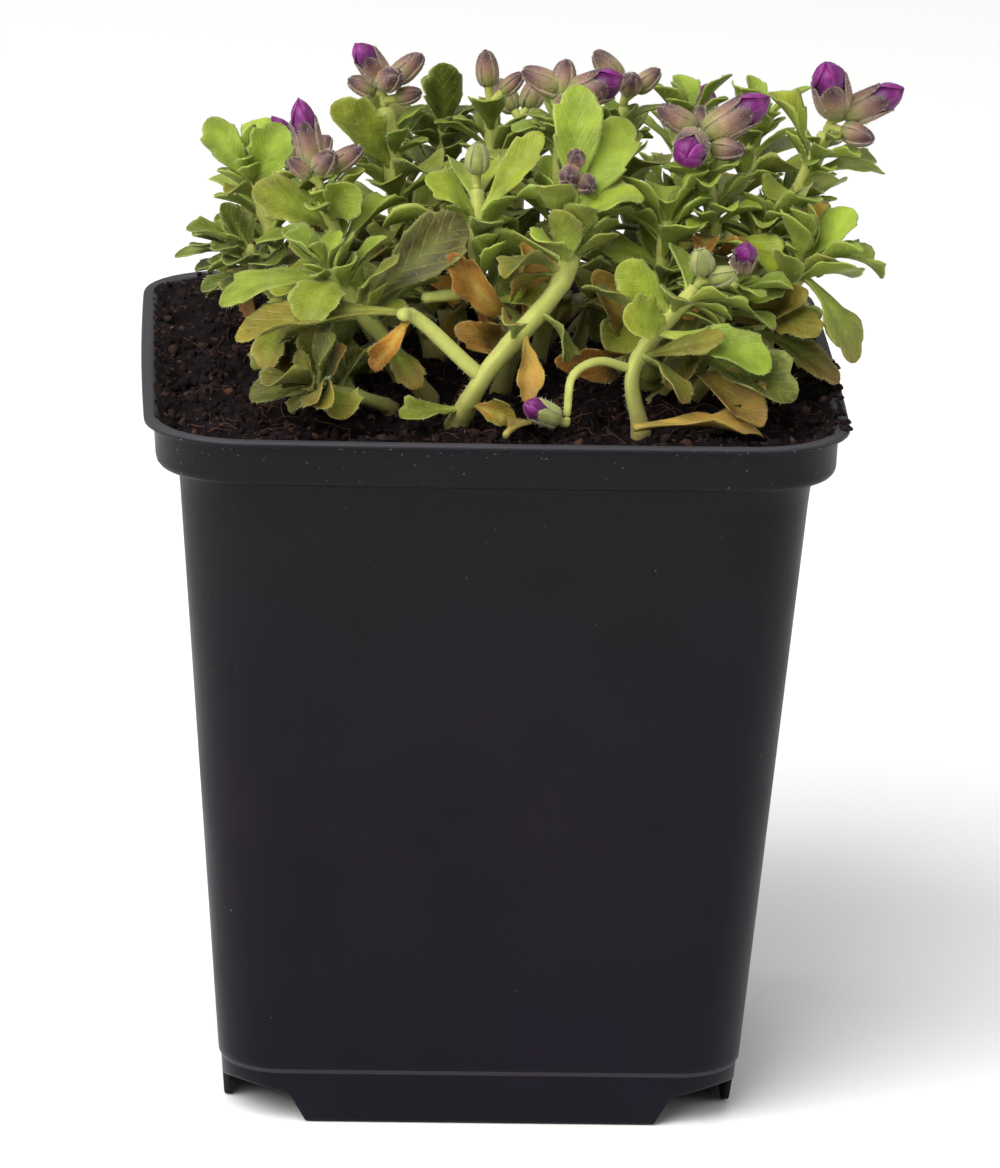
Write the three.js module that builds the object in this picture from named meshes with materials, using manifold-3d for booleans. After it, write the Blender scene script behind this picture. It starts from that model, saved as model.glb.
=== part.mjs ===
// Potted aubrieta: a square nursery pot of compost with a low bushy plant in bud.
// Millimetres, +Z up. The photographed face of the pot looks along -Y.
// The pot stands on z = 0, and its axis is moved so that the whole plant's box is centred on x = y = 0.
import * as THREE from 'three';
import { mergeVertices } from 'three/addons/utils/BufferGeometryUtils.js';
import Module from 'manifold-3d';

const wasm = await Module();
wasm.setup();

// Pot
const POT_TOP = 94.3;            // height of the lip above the surface it stands on
const LIP_HALF = 45;             // half the pot's outer width at the lip
const LIP_THICK = 0.9;
const LIP_INNER_HALF = 43.4;     // half the width of the mouth
const BAND_HALF = 43.4;          // half the width of the band under the lip
const BAND_INNER_HALF = 42.4;
const BAND_LOW = 88.6;           // the band's lower edge
const BODY_TOP_HALF = 40.5;
const BODY_LOW_HALF = 33.95;
const WALL = 1.0;
const STEP_HEIGHT = 7.3;         // a shallow step runs round the wall at this height
const STEP_DEPTH = 0.3;
const WALL_LOW = 4.2;            // the wall ends here, and only the four feet go on down
const FLOOR_LOW = 6.0;
const FLOOR_TOP = 7.2;
const FOOT_HALF_LOW = 22.6;      // each foot is a trapezoid, half as wide as this at its sole
const FOOT_HALF_HIGH = 24.8;
const FOOT_SINK = 1.2;           // how far a foot's root runs up into the wall
const FOOT_THICK = 0.9;
const DRAIN_RADIUS = 4;
const DRAIN_PLACES = [[0, 0], [20, 20], [-20, 20], [-20, -20], [20, -20]];

// Compost
const SOIL_LEVEL = 92.2;
const SOIL_HALF = 42.1;
const SOIL_CORNER = 11;
const HOLE_DEPTH = 6;            // how deep a stem stands in the compost
const GAP = 0.3;                 // between pieces that touch
const TOUCH_VOLUME = 1e-6;       // cubic millimetres, below which two solids only touch

// Plant
const SEED = 20261;
const GOLDEN_ANGLE = 2.39996;
const BLADE_THICK = 0.62;
const STEM_SIDES = 5;
const BUD_SIDES = 8;             // four sepals, each with a ridge and a groove

const COLOURS = {
  pot: 0x29262c,
  compost: 0x241a1c,
  fresh: 0x9db552,
  mid: 0x86993f,
  dark: 0x5a7012,
  old: 0x7d7f1d,
  dry: 0xb07a1c,
  calyx: 0x9a7c6f,
  beige: 0xb79c74,
  woolly: 0xb9bf8f,
  petals: 0x8a1c86,
};

// Each leafy shoot: its stem from the compost to its growing tip, the stem's radius at both ends,
// how many leaves the rule gives it, their lengths from the oldest to the youngest, where on the
// stem they start, and the shade of its foliage. A branch leaves the stem at the fraction "at".
const SHOOTS = [
  { name: 'shoot_front_centre', stem: [[-5.3, -30], [-1.5, -32, 100.5], [8, -25, 111], [9.8, -16, 121]],
    thick: [1.2, 1.1], leaves: 6, lengths: [13, 10], low: 0.72, shade: 'fresh',
    branch: { at: 0.3, to: [[-10.2, -30.5, 106.6], [-12.5, -32.5, 108]] } },
  { name: 'shoot_centre_woolly', stem: [[1, -13], [2.6, -19, 103.5], [-2.3, -20, 108.6], [-2.7, -15, 120]],
    thick: [1.1, 0.9], leaves: 5, lengths: [12, 10], low: 0.86, shade: 'fresh',
    branch: { at: 0.64, to: [[-9.5, -24, 108]] } },
  { name: 'shoot_front_right', stem: [[18.3, -30.2], [17, -30, 100], [21, -28, 106], [25, -27, 110.5]],
    thick: [1.0, 0.9], leaves: 6, lengths: [11, 8], low: 0.45, shade: 'fresh',
    branch: { at: 0.36, thick: [0.6, 0.5],
      to: [[12.6, -31.7, 102], [9.4, -34.2, 100.6], [8.6, -36.2, 96]] } },
  { name: 'shoot_left_high', stem: [[-15, -6], [-26, -6, 106], [-31.5, -5, 119]],
    thick: [1.0, 0.8], leaves: 6, lengths: [13, 9], low: 0.35, shade: 'fresh' },
  { name: 'shoot_left_bud', stem: [[-11, -11], [-18.5, -12.5, 106], [-22.5, -12, 119]],
    thick: [1.1, 0.9], leaves: 7, lengths: [14, 9], low: 0.35, shade: 'fresh' },
  { name: 'shoot_left_front', stem: [[-8.5, -18], [-15, -23.5, 103], [-22, -26, 112]],
    thick: [1.1, 0.9], leaves: 7, lengths: [13, 8], low: 0.45, shade: 'fresh' },
  { name: 'shoot_left_low', stem: [[-18, 0], [-26.5, -5, 101], [-32, -9, 110.5]],
    thick: [0.9, 0.8], leaves: 6, lengths: [9.5, 6.5], low: 0.35, shade: 'dark' },
  { name: 'shoot_left_back', stem: [[-19, 8], [-28, 7, 100.5], [-33.5, 6, 107]],
    thick: [0.9, 0.8], leaves: 5, lengths: [9.5, 6.5], low: 0.35, shade: 'dark' },
  { name: 'shoot_top_left', stem: [[-7, 3], [-11, 5, 106], [-14, 5, 126]],
    thick: [1.2, 1.1], leaves: 8, lengths: [14, 10], low: 0.4, shade: 'mid' },
  { name: 'shoot_behind_left', stem: [[-3, 10], [-5, 15, 107], [-6, 18, 121]],
    thick: [1.0, 0.8], leaves: 7, lengths: [13, 9], low: 0.45, shade: 'dark' },
  { name: 'shoot_top_centre', stem: [[3, 8], [1, 11, 107], [0, 13, 124]],
    thick: [1.0, 0.8], leaves: 6, lengths: [13, 8], low: 0.45, shade: 'mid' },
  { name: 'shoot_top_buds', stem: [[6, -2], [8.5, -1, 108], [8.5, -2, 126.5]],
    thick: [1.1, 0.9], leaves: 6, lengths: [13, 9], low: 0.4, shade: 'mid' },
  { name: 'shoot_top_dry', stem: [[11.5, 5], [15.5, 7, 108], [17.2, 8, 126]],
    thick: [0.9, 0.7], leaves: 6, lengths: [13, 9], low: 0.35, shade: 'mid' },
  { name: 'shoot_right_centre', stem: [[14, -10], [20, -13.5, 103], [22, -13, 116]],
    thick: [1.0, 0.8], leaves: 7, lengths: [12, 9], low: 0.45, shade: 'fresh' },
  { name: 'shoot_right_bud', stem: [[19.5, -4], [26, -8, 104], [28, -10, 114], [26.3, -9, 123]],
    thick: [1.1, 0.9], leaves: 7, lengths: [13, 9], low: 0.4, shade: 'fresh' },
  { name: 'shoot_behind_right', stem: [[15, 12], [23, 18, 107], [27, 21, 122]],
    thick: [1.0, 0.8], leaves: 6, lengths: [13, 9], low: 0.4, shade: 'mid' },
  { name: 'shoot_back_right_high', stem: [[21, 8], [31, 14, 107], [35.5, 17, 122]],
    thick: [1.0, 0.8], leaves: 6, lengths: [13, 9], low: 0.4, shade: 'mid' },
  { name: 'shoot_right_high', stem: [[26, 1], [34, 3, 105], [40, 4, 116], [43.4, 4, 123.8]],
    thick: [1.1, 0.9], leaves: 6, lengths: [13, 9], low: 0.4, shade: 'fresh' },
  { name: 'shoot_right_mid', stem: [[24, -9], [31.5, -9.5, 104], [35.3, -7.5, 115]],
    thick: [1.0, 0.8], leaves: 6, lengths: [13, 9], low: 0.45, shade: 'fresh' },
  { name: 'shoot_right_low', stem: [[25, -15], [34, -15, 103], [40.5, -13.5, 111]],
    thick: [1.0, 0.9], leaves: 6, lengths: [12, 9], low: 0.6, shade: 'fresh' },
  { name: 'shoot_right_small', stem: [[20, -19], [27, -21.5, 103], [30.5, -21.5, 110]],
    thick: [0.8, 0.7], leaves: 4, lengths: [9, 6], low: 0.55, shade: 'mid' },
  { name: 'shoot_low_front_left', stem: [[-13.5, -23], [-19, -29, 96.5], [-24, -33, 98.5]],
    thick: [0.9, 0.7], leaves: 4, lengths: [12, 9], low: 0.4, shade: 'old' },
  { name: 'shoot_back_left', stem: [[-11, 17], [-19, 24, 102], [-23.5, 28, 110]],
    thick: [1.0, 0.8], leaves: 6, lengths: [13, 8], low: 0.35, shade: 'mid' },
  { name: 'shoot_back_centre', stem: [[2.5, 18.5], [4, 28, 105], [5, 33, 117]],
    thick: [1.0, 0.8], leaves: 6, lengths: [13, 8], low: 0.35, shade: 'mid' },
  { name: 'shoot_back_right', stem: [[12.5, 20], [22, 29, 103], [28, 33, 114]],
    thick: [1.0, 0.8], leaves: 6, lengths: [13, 8], low: 0.35, shade: 'mid' },
  { name: 'shoot_back_right_low', stem: [[25, 13], [35, 19, 102], [41, 22, 110]],
    thick: [0.9, 0.8], leaves: 5, lengths: [12, 8], low: 0.35, shade: 'fresh' },
  { name: 'shoot_back_left_low', stem: [[-18, 14.5], [-26, 19.5, 99], [-30, 23, 103.5]],
    thick: [0.9, 0.8], leaves: 5, lengths: [10, 7], low: 0.35, shade: 'old' },
  { name: 'shoot_back_mid_left', stem: [[-4.5, 20.5], [-8.5, 29, 102], [-11.5, 34, 110]],
    thick: [0.9, 0.8], leaves: 5, lengths: [12, 8], low: 0.35, shade: 'dark' },
];

// Leaves that the photograph shows singly: the shoot and the place on its stem (a place past 1 is on
// the branch), the tip of the leaf, its half width, the angle it bends through and where its face looks.
const SINGLE_LEAVES = [
  { shoot: 'shoot_front_centre', at: 0.9, to: [10, -14.5, 134],
    half: 3.4, bend: 0.5, face: [0, -1, 0.2] },
  { shoot: 'shoot_front_centre', at: 0.87, to: [16.5, -12, 129],
    half: 3.4, bend: 0.7, face: [0.1, -0.9, 0.6] },
  { shoot: 'shoot_front_centre', at: 0.85, to: [18.5, -19, 120.5],
    half: 3.0, bend: 1.2, face: [0, -0.3, 1] },
  { shoot: 'shoot_front_centre', at: 0.72, to: [4.5, -29, 117],
    half: 3.0, bend: 0.8, face: [-0.3, -0.6, 1] },
  { shoot: 'shoot_front_centre', at: 0.5, to: [3.5, -36, 97.5],
    half: 2.0, bend: 0.5, face: [0.2, -1, 0.3] },
  { shoot: 'shoot_front_centre', at: 1.7, to: [-33.5, -33, 104.5],
    half: 3.4, bend: 0.7, face: [0, -0.3, 1] },
  { shoot: 'shoot_front_centre', at: 1.6, to: [-16, -34.5, 101],
    half: 2.0, bend: 0.5, face: [-0.2, -1, 0.6] },
  { shoot: 'shoot_front_centre', at: 0.1, to: [-12.5, -35.5, 95.3],
    half: 2.3, bend: 0.4, face: [0, -0.5, 1] },
  { shoot: 'shoot_centre_woolly', at: 0.9, to: [-9.5, -19, 122.5],
    half: 2.7, bend: 0.9, face: [0, -0.6, 1] },
  { shoot: 'shoot_centre_woolly', at: 0.9, to: [5.5, -16, 128],
    half: 2.3, bend: 0.3, face: [-0.3, -1, 0.3] },
  { shoot: 'shoot_centre_woolly', at: 0.55, to: [7.5, -24, 107.8],
    half: 2.6, bend: 0.5, face: [0.2, -0.5, 1] },
  { shoot: 'shoot_left_front', at: 0.9, to: [-24.5, -34.5, 107],
    half: 3.6, bend: 1.3, face: [0, -0.6, 1] },
  { shoot: 'shoot_left_front', at: 0.85, to: [-35.5, -29, 108],
    half: 3.0, bend: 1.4, face: [0, -0.4, 1] },
  { shoot: 'shoot_left_front', at: 0.7, to: [-4.5, -20, 117.5],
    half: 3.9, bend: 0.5, face: [0.2, -0.9, 0.5] },
  { shoot: 'shoot_left_bud', at: 0.8, to: [-31.5, -15, 119.5],
    half: 3.5, bend: 0.8, face: [-0.2, -0.7, 0.8] },
  { shoot: 'shoot_left_bud', at: 0.86, to: [-18, -18, 121],
    half: 3.0, bend: 0.5, face: [0, -1, 0.4] },
  { shoot: 'shoot_left_high', at: 0.95, to: [-37, -6, 127],
    half: 2.5, bend: 0.7, face: [-0.5, -0.4, 0.7] },
  { shoot: 'shoot_left_high', at: 0.93, to: [-27.5, -7, 126.5],
    half: 3.2, bend: 0.7, face: [0.1, -0.7, 0.8] },
  { shoot: 'shoot_right_low', at: 0.9, to: [46, -21, 99.5],
    half: 3.7, bend: 0.8, face: [0.7, -0.5, 0.5] },
  { shoot: 'shoot_right_low', at: 0.97, to: [50, -11.5, 108.5],
    half: 2.5, bend: 1.7, face: [0.1, -0.2, 1] },
  { shoot: 'shoot_right_mid', at: 0.5, to: [41, -23.5, 103.6],
    half: 3.6, bend: 0.7, face: [0.1, -0.7, 0.8] },
  { shoot: 'shoot_front_right', at: 0.6, to: [34.5, -33, 101.5],
    half: 3.2, bend: 0.7, face: [0, -0.7, 0.8] },
  { shoot: 'shoot_front_right', at: 0.42, to: [28.5, -34, 106],
    half: 2.6, bend: 0.2, face: [0, -0.5, 1] },
  { shoot: 'shoot_front_right', at: 0.7, to: [15.5, -34, 108],
    half: 3.3, bend: 0.6, face: [0, -1, 0.4] },
  { shoot: 'shoot_front_right', at: 0.75, to: [15, -29, 114],
    half: 2.8, bend: 0.4, face: [0.2, -1, 0.3] },
  { shoot: 'shoot_right_small', at: 0.35, to: [37.5, -33.5, 97.6],
    half: 4.2, bend: 0.5, face: [0, -0.6, 0.8] },
  { shoot: 'shoot_right_centre', at: 0.75, to: [13.2, -15.5, 113],
    half: 2.9, bend: 1.2, face: [0, -0.5, 1] },
  { shoot: 'shoot_low_front_left', at: 0.75, to: [-19.5, -38, 95.6],
    half: 3.0, bend: 0.4, face: [0, -0.6, 1] },
  { shoot: 'shoot_low_front_left', at: 0.4, to: [-25, -30, 105],
    half: 3.0, bend: 0.4, face: [0, -1, 0.3] },
  { shoot: 'shoot_top_left', at: 0.8, to: [-21, 1, 127.5],
    half: 3.2, bend: 0.9, face: [-0.2, -0.7, 0.7] },
  { shoot: 'shoot_behind_left', at: 0.95, to: [-6.5, 15, 130],
    half: 3.0, bend: 0.5, face: [0.2, -1, 0.3] },
];

// Bud heads: the shoot whose tip carries each, and its buds as direction, distance from the shoot's tip
// to the bud's middle, length, radius and whether petals show. Finish names the colour of its sepals.
const HEADS = [
  { name: 'buds_left', shoot: 'shoot_left_bud', finish: 'calyx', buds: [
    [[-0.28, 0.0, 1], 6.2, 7.4, 1.7, true], [[0.1, -0.5, 0.9], 4.6, 5.5, 1.7, false],
    [[0.6, 0.0, 0.8], 4.9, 5.9, 1.5, false], [[-0.75, -0.1, 0.75], 3.8, 4.0, 1.2, false]] },
  { name: 'buds_top_left', shoot: 'shoot_top_left', finish: 'calyx', buds: [
    [[-0.3, -0.1, 1], 5.5, 5.5, 1.7, true], [[0.1, -0.5, 0.9], 4.8, 5.9, 1.9, false],
    [[0.55, 0.1, 1], 5.8, 5.7, 1.7, false], [[-0.8, 0.1, 0.7], 4.0, 4.4, 1.4, false],
    [[0.75, -0.3, 0.45], 3.7, 3.9, 1.3, false]] },
  { name: 'buds_top_centre', shoot: 'shoot_top_centre', finish: 'calyx', buds: [
    [[-0.1, 0.0, 1], 5.5, 5.3, 1.6, false], [[0.7, -0.1, 0.9], 4.6, 4.2, 1.2, false]] },
  { name: 'buds_top', shoot: 'shoot_top_buds', finish: 'calyx', buds: [
    [[-0.5, 0.1, 1], 5.3, 6.4, 1.8, false], [[0.05, 0.1, 1], 5.0, 5.7, 1.8, false],
    [[0.75, -0.1, 0.8], 5.2, 5.9, 2.2, true], [[0.1, -0.7, 0.6], 4.1, 4.6, 1.5, false],
    [[-0.35, 0.5, 0.7], 4.6, 4.6, 1.4, false]] },
  { name: 'buds_top_dry', shoot: 'shoot_top_dry', finish: 'beige', buds: [
    [[-0.45, 0.0, 1], 5.5, 5.9, 1.7, false], [[0.15, -0.5, 0.8], 4.0, 4.4, 1.7, false],
    [[0.7, 0.0, 0.8], 4.5, 4.6, 1.4, false]] },
  { name: 'buds_centre_round', shoot: 'shoot_front_centre', finish: 'calyx', buds: [
    [[-0.25, -1, 0.55], 4.0, 3.7, 1.7, false], [[0.35, -1, 0.25], 4.2, 3.5, 1.5, false],
    [[0.0, -0.5, 0.95], 4.2, 3.5, 1.5, false]] },
  { name: 'bud_woolly', shoot: 'shoot_centre_woolly', finish: 'woolly', buds: [
    [[0.0, -0.1, 1], 4.1, 4.6, 1.7, false]] },
  { name: 'buds_right', shoot: 'shoot_right_bud', finish: 'calyx', buds: [
    [[-0.6, 0.1, 1], 5.8, 6.4, 1.8, false], [[-0.28, -0.75, 0.5], 4.6, 5.5, 2.3, true],
    [[0.7, 0.0, 0.95], 6.2, 7.4, 2.2, true], [[0.7, -0.4, 0.35], 4.3, 5.0, 1.6, false],
    [[0.0, 0.4, 1], 4.6, 5.2, 1.4, false]] },
  { name: 'buds_far_right', shoot: 'shoot_right_high', finish: 'calyx', buds: [
    [[0.1, -0.25, 1], 5.4, 6.8, 2.4, true], [[0.2, 0.75, 0.8], 5.2, 5.6, 1.6, false],
    [[0.95, -0.1, 0.7], 6.2, 6.8, 2.0, true], [[0.75, -0.5, 0.05], 4.6, 5.2, 1.7, false]] },
  { name: 'buds_front_right', shoot: 'shoot_front_right', finish: 'woolly', buds: [
    [[0.1, -0.4, 0.9], 4.1, 4.6, 1.7, false], [[0.85, -0.4, 0.5], 3.9, 4.2, 1.5, false]] },
  { name: 'bud_right_small', shoot: 'shoot_right_small', finish: 'calyx', buds: [
    [[0.15, -0.6, 0.8], 4.1, 4.6, 1.5, true]] },
  { name: 'bud_hanging', shoot: 'shoot_front_right', onBranch: true, finish: 'woolly', buds: [
    [[-0.8, -0.55, 0.3], 3.6, 4.6, 1.5, true]] },
  { name: 'buds_back_left', shoot: 'shoot_back_left', finish: 'calyx', buds: [
    [[-0.5, 0.1, 1], 5.3, 6.1, 1.7, true], [[0.4, 0.5, 0.9], 4.9, 5.5, 1.6, false]] },
  { name: 'buds_back', shoot: 'shoot_back_centre', finish: 'calyx', buds: [
    [[0.4, 0.3, 1], 5.3, 6.1, 1.8, false], [[-0.5, 0.5, 0.9], 4.9, 5.5, 1.7, false]] },
  { name: 'buds_back_right', shoot: 'shoot_back_right', finish: 'calyx', buds: [
    [[0.3, 0.6, 1], 5.2, 5.9, 1.7, true], [[-0.6, 0.3, 0.8], 4.5, 4.8, 1.5, false]] },
];

// Dead leaves that have dropped on the compost: centre, heading, length and half width.
const FALLEN_LEAVES = [
  { name: 'fallen_leaf_front', place: [2.6, -36.5], heading: 1.2, length: 11, half: 2.3 },
  { name: 'fallen_leaf_right', place: [25.5, -35.5], heading: 0.15, length: 17, half: 4.0 },
];

// How the rule bends a leaf that would cross a neighbour: extra turn round the stem, extra tilt
// away from it and a smaller size, tried in this order until one is clear.
const BENDS = [
  [0, 0, 1], [0, 0.22, 1], [0, -0.22, 1], [0.4, 0, 1], [-0.4, 0, 1], [0, 0.44, 0.92], [0, -0.44, 0.92],
  [0.8, 0, 0.92], [-0.8, 0, 0.92], [0.4, -0.35, 0.85], [-0.4, -0.35, 0.85], [0.4, 0.35, 0.85],
  [-0.4, 0.35, 0.85], [0, 0, 0.7], [1.2, -0.2, 0.75], [-1.2, -0.2, 0.75],
];

const v3 = (list) => new THREE.Vector3(list[0], list[1], list[2]);
const mix = (a, b, f) => a + (b - a) * f;

let lehmer = SEED;
function draw(low, high) {
  lehmer = (lehmer * 48271) % 2147483647;
  return mix(low, high, lehmer / 2147483647);
}

// The lumpy top of the compost: a low mound at the plant with waves of two sizes,
// and a bank against the pot's back left corner.
function soilHeight(x, y) {
  const mound = 0.9 * Math.exp(-(x * x + y * y) / 700);
  const broad = 0.55 * Math.sin(0.21 * x + 1.3) * Math.cos(0.19 * y + 0.4);
  const short = 0.35 * Math.sin(0.47 * x - 0.39 * y);
  const bank = 1.6 * Math.exp(-((x + 36) * (x + 36) + (y - 36) * (y - 36)) / 260);
  return SOIL_LEVEL + mound + broad + short + bank;
}

// The lowest height that foliage may reach at a place: the compost, the pot's lip, or nothing outside it
function lowestHeight(x, y) {
  const reach = Math.max(Math.abs(x), Math.abs(y));
  if (reach < LIP_INNER_HALF - 0.5) return soilHeight(x, y);
  if (reach < LIP_HALF + 1.5) return POT_TOP + 0.2;
  return -100;
}

// A smooth curve through points (uniform Catmull-Rom, its ends reflected), at a fraction of its length
function along(points, fraction) {
  const last = points.length - 1;
  const place = Math.min(fraction * last, last - 1e-9);
  const index = Math.floor(place);
  const t = place - index;
  const b = points[index];
  const c = points[index + 1];
  const a = index > 0 ? points[index - 1] : b.clone().multiplyScalar(2).sub(c);
  const d = index + 2 <= last ? points[index + 2] : c.clone().multiplyScalar(2).sub(b);
  const weights = [
    -0.5 * t + t * t - 0.5 * t * t * t,
    1 - 2.5 * t * t + 1.5 * t * t * t,
    0.5 * t + 2 * t * t - 1.5 * t * t * t,
    -0.5 * t * t + 0.5 * t * t * t,
  ];
  const sum = new THREE.Vector3();
  [a, b, c, d].forEach((point, k) => sum.addScaledVector(point, weights[k]));
  return sum;
}

function heading(points, fraction) {
  const step = 0.01;
  const low = Math.max(fraction - step, 0);
  const high = Math.min(fraction + step, 1);
  return along(points, high).sub(along(points, low)).normalize();
}

// Two directions square to a stem, the first of them level and across the view
function sideways(direction) {
  const back = new THREE.Vector3(0, 1, 0);
  const first = back.cross(direction).normalize();
  const second = direction.clone().cross(first);
  return [first, second];
}

// Solids from rings of points, closed at both ends
function solidFromRings(rings, startCentre, endCentre) {
  const count = rings[0].length;
  const points = rings.flat();
  const faces = [];
  for (let r = 0; r + 1 < rings.length; r++) {
    for (let k = 0; k < count; k++) {
      const a = r * count + k;
      const b = r * count + (k + 1) % count;
      faces.push([a, b, a + count], [b, b + count, a + count]);
    }
  }
  const start = points.length;
  points.push(startCentre, endCentre);
  const top = (rings.length - 1) * count;
  for (let k = 0; k < count; k++) {
    const next = (k + 1) % count;
    faces.push([start, next, k], [start + 1, top + k, top + next]);
  }
  return solidFromFaces(points, faces);
}

function solidFromFaces(points, faces) {
  const geometry = new THREE.BufferGeometry();
  const flat = points.flatMap((p) => [p.x, p.y, p.z]);
  geometry.setAttribute('position', new THREE.Float32BufferAttribute(flat, 3));
  geometry.setIndex(faces.flat());
  return solidFromGeometry(geometry);
}

function solidFromGeometry(geometry) {
  const bare = geometry.clone();
  bare.deleteAttribute('normal');
  bare.deleteAttribute('uv');
  const merged = mergeVertices(bare, 1e-5);
  return new wasm.Manifold(new wasm.Mesh({
    numProp: 3,
    vertProperties: new Float32Array(merged.attributes.position.array),
    triVerts: new Uint32Array(merged.index.array),
  }));
}

const fuse = (solids) => solids.reduce((sum, solid) => sum.add(solid));

// The largest of a solid's separate bodies: loose scraps left by a cut are dropped
function largestBody(solid) {
  const bodies = solid.decompose();
  return bodies.reduce((best, body) => (body.volume() > best.volume() ? body : best));
}

// Rounded square ring of the pot, anticlockwise from above
function squareRing(half, corner, z, steps = 3) {
  const points = [];
  for (let quarter = 0; quarter < 4; quarter++) {
    for (let k = 0; k <= steps; k++) {
      const angle = (quarter + k / steps) * Math.PI / 2;
      const middle = (quarter + 0.5) * Math.PI / 2;
      const x = Math.sign(Math.cos(middle)) * (half - corner) + corner * Math.cos(angle);
      const y = Math.sign(Math.sin(middle)) * (half - corner) + corner * Math.sin(angle);
      points.push(new THREE.Vector3(x, y, z));
    }
  }
  return points;
}

// One moulded piece: floor, tapered wall, band and lip, with a foot under the middle of each side
function makePot() {
  const taper = (BODY_TOP_HALF - BODY_LOW_HALF) / (BAND_LOW - STEP_HEIGHT);
  const lowHalf = BODY_LOW_HALF - STEP_DEPTH - taper * (STEP_HEIGHT - WALL_LOW);
  // Half width, corner radius and height of each ring: from the floor's underside down inside the wall,
  // up its outside over step, band and lip, and down the inside to the floor
  const rings = [
    squareRing(lowHalf - WALL, 7.2, FLOOR_LOW),
    squareRing(lowHalf - WALL, 7.2, WALL_LOW),
    squareRing(lowHalf, 8, WALL_LOW),
    squareRing(BODY_LOW_HALF - STEP_DEPTH, 8.2, STEP_HEIGHT - 0.2),
    squareRing(BODY_LOW_HALF, 8.4, STEP_HEIGHT + 0.2),
    squareRing(BODY_TOP_HALF, 10, BAND_LOW - 0.9),
    squareRing(BAND_HALF - 0.9, 11, BAND_LOW - 0.7),
    squareRing(BAND_HALF, 11.6, BAND_LOW + 0.5),
    squareRing(BAND_HALF + 0.2, 12, POT_TOP - LIP_THICK),
    squareRing(LIP_HALF, 12.9, POT_TOP - LIP_THICK),
    squareRing(LIP_HALF, 12.9, POT_TOP),
    squareRing(LIP_INNER_HALF, 11.7, POT_TOP),
    squareRing(BAND_INNER_HALF, 11, POT_TOP - 1.2),
    squareRing(BAND_INNER_HALF, 10.8, BAND_LOW + 1.2),
    squareRing(BODY_TOP_HALF - WALL, 9, BAND_LOW - 0.2),
    squareRing(lowHalf - WALL + 0.3, 7.4, FLOOR_TOP),
  ];
  const shell = solidFromRings(rings, new THREE.Vector3(0, 0, FLOOR_LOW), new THREE.Vector3(0, 0, FLOOR_TOP));
  const high = WALL_LOW + FOOT_SINK;
  const outline = (half, inset, z) => [[-half, -inset, z], [half, -inset, z],
    [half, -inset + FOOT_THICK, z], [-half, -inset + FOOT_THICK, z]].map(v3);
  const soleInset = lowHalf - taper * WALL_LOW - 0.05;
  const topInset = soleInset + taper * high;
  const foot = [outline(FOOT_HALF_LOW, soleInset, 0), outline(FOOT_HALF_HIGH, topInset, high)];
  const feet = [0, 1, 2, 3].map((quarter) => {
    const turned = foot.map((ring) => ring.map((p) => p.clone().applyAxisAngle(new THREE.Vector3(0, 0, 1),
      quarter * Math.PI / 2)));
    const middle = (ring) => ring.reduce((sum, p) => sum.add(p), new THREE.Vector3()).multiplyScalar(0.25);
    return solidFromRings(turned, middle(turned[0]), middle(turned[1]));
  });
  const drains = DRAIN_PLACES.map(([x, y]) => {
    const hole = new THREE.CylinderGeometry(DRAIN_RADIUS, DRAIN_RADIUS, 6, 8);
    hole.rotateX(Math.PI / 2);
    hole.translate(x, y, (FLOOR_LOW + FLOOR_TOP) / 2);
    return solidFromGeometry(hole);
  });
  return fuse([shell, ...feet]).subtract(fuse(drains));
}

// The block of compost, its lumpy top, and a plain round hole for each stem
function makeCompost() {
  const bands = [0.3, 0.6, 0.86];
  const taper = (BODY_TOP_HALF - BODY_LOW_HALF) / (BAND_LOW - STEP_HEIGHT);
  const wallTop = BODY_TOP_HALF - WALL - GAP - 0.2;
  const low = FLOOR_TOP + GAP;
  const lowHalf = wallTop - taper * (BAND_LOW - low) - 0.4;
  // Half width, corner radius and height: the bottom, the top of the tapered part, and inside the band
  const rings = [
    squareRing(lowHalf, 7, low),
    squareRing(wallTop - 0.2, 8.8, BAND_LOW - 0.4),
    squareRing(SOIL_HALF, SOIL_CORNER, BAND_LOW + 2.1),
  ];
  const shaped = (fraction, drop) => squareRing(SOIL_HALF, SOIL_CORNER, 0).map((p) => {
    const x = p.x * fraction;
    const y = p.y * fraction;
    return new THREE.Vector3(x, y, soilHeight(x, y) - drop);
  });
  rings.push(shaped(1, 0.5));
  [...bands].reverse().forEach((fraction) => rings.push(shaped(fraction, 0)));
  const middle = new THREE.Vector3(0, 0, soilHeight(0, 0));
  const block = solidFromRings(rings, new THREE.Vector3(0, 0, low), middle);
  return SHOOTS.reduce((solid, shoot) => solid.subtract(makeRootedStem(shoot, GAP)), block);
}

// A round stem along points, thinning from its foot to its tip
function makeStem(points, footRadius, tipRadius, steps, rings = [], swell = 0) {
  for (let r = 0; r <= steps; r++) {
    const fraction = r / steps;
    const centre = along(points, fraction);
    const [first, second] = sideways(heading(points, fraction));
    const radius = mix(footRadius, tipRadius, fraction) + swell;
    rings.push(ringRound(centre, first, second, radius, STEM_SIDES));
  }
  const start = rings[0].reduce((sum, p) => sum.add(p), new THREE.Vector3()).divideScalar(STEM_SIDES);
  return solidFromRings(rings, start, along(points, 1));
}

// A shoot's main stem, with its straight foot in the compost
function makeRootedStem(shoot, swell) {
  const points = stemPoints(shoot);
  const foot = points[0].clone();
  foot.z -= HOLE_DEPTH + swell;
  const [first, second] = sideways(new THREE.Vector3(0, 0, 1));
  const buried = ringRound(foot, first, second, shoot.thick[0] + swell, STEM_SIDES);
  return makeStem(points, shoot.thick[0], shoot.thick[1], shoot.stem.length, [buried], swell);
}

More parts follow.
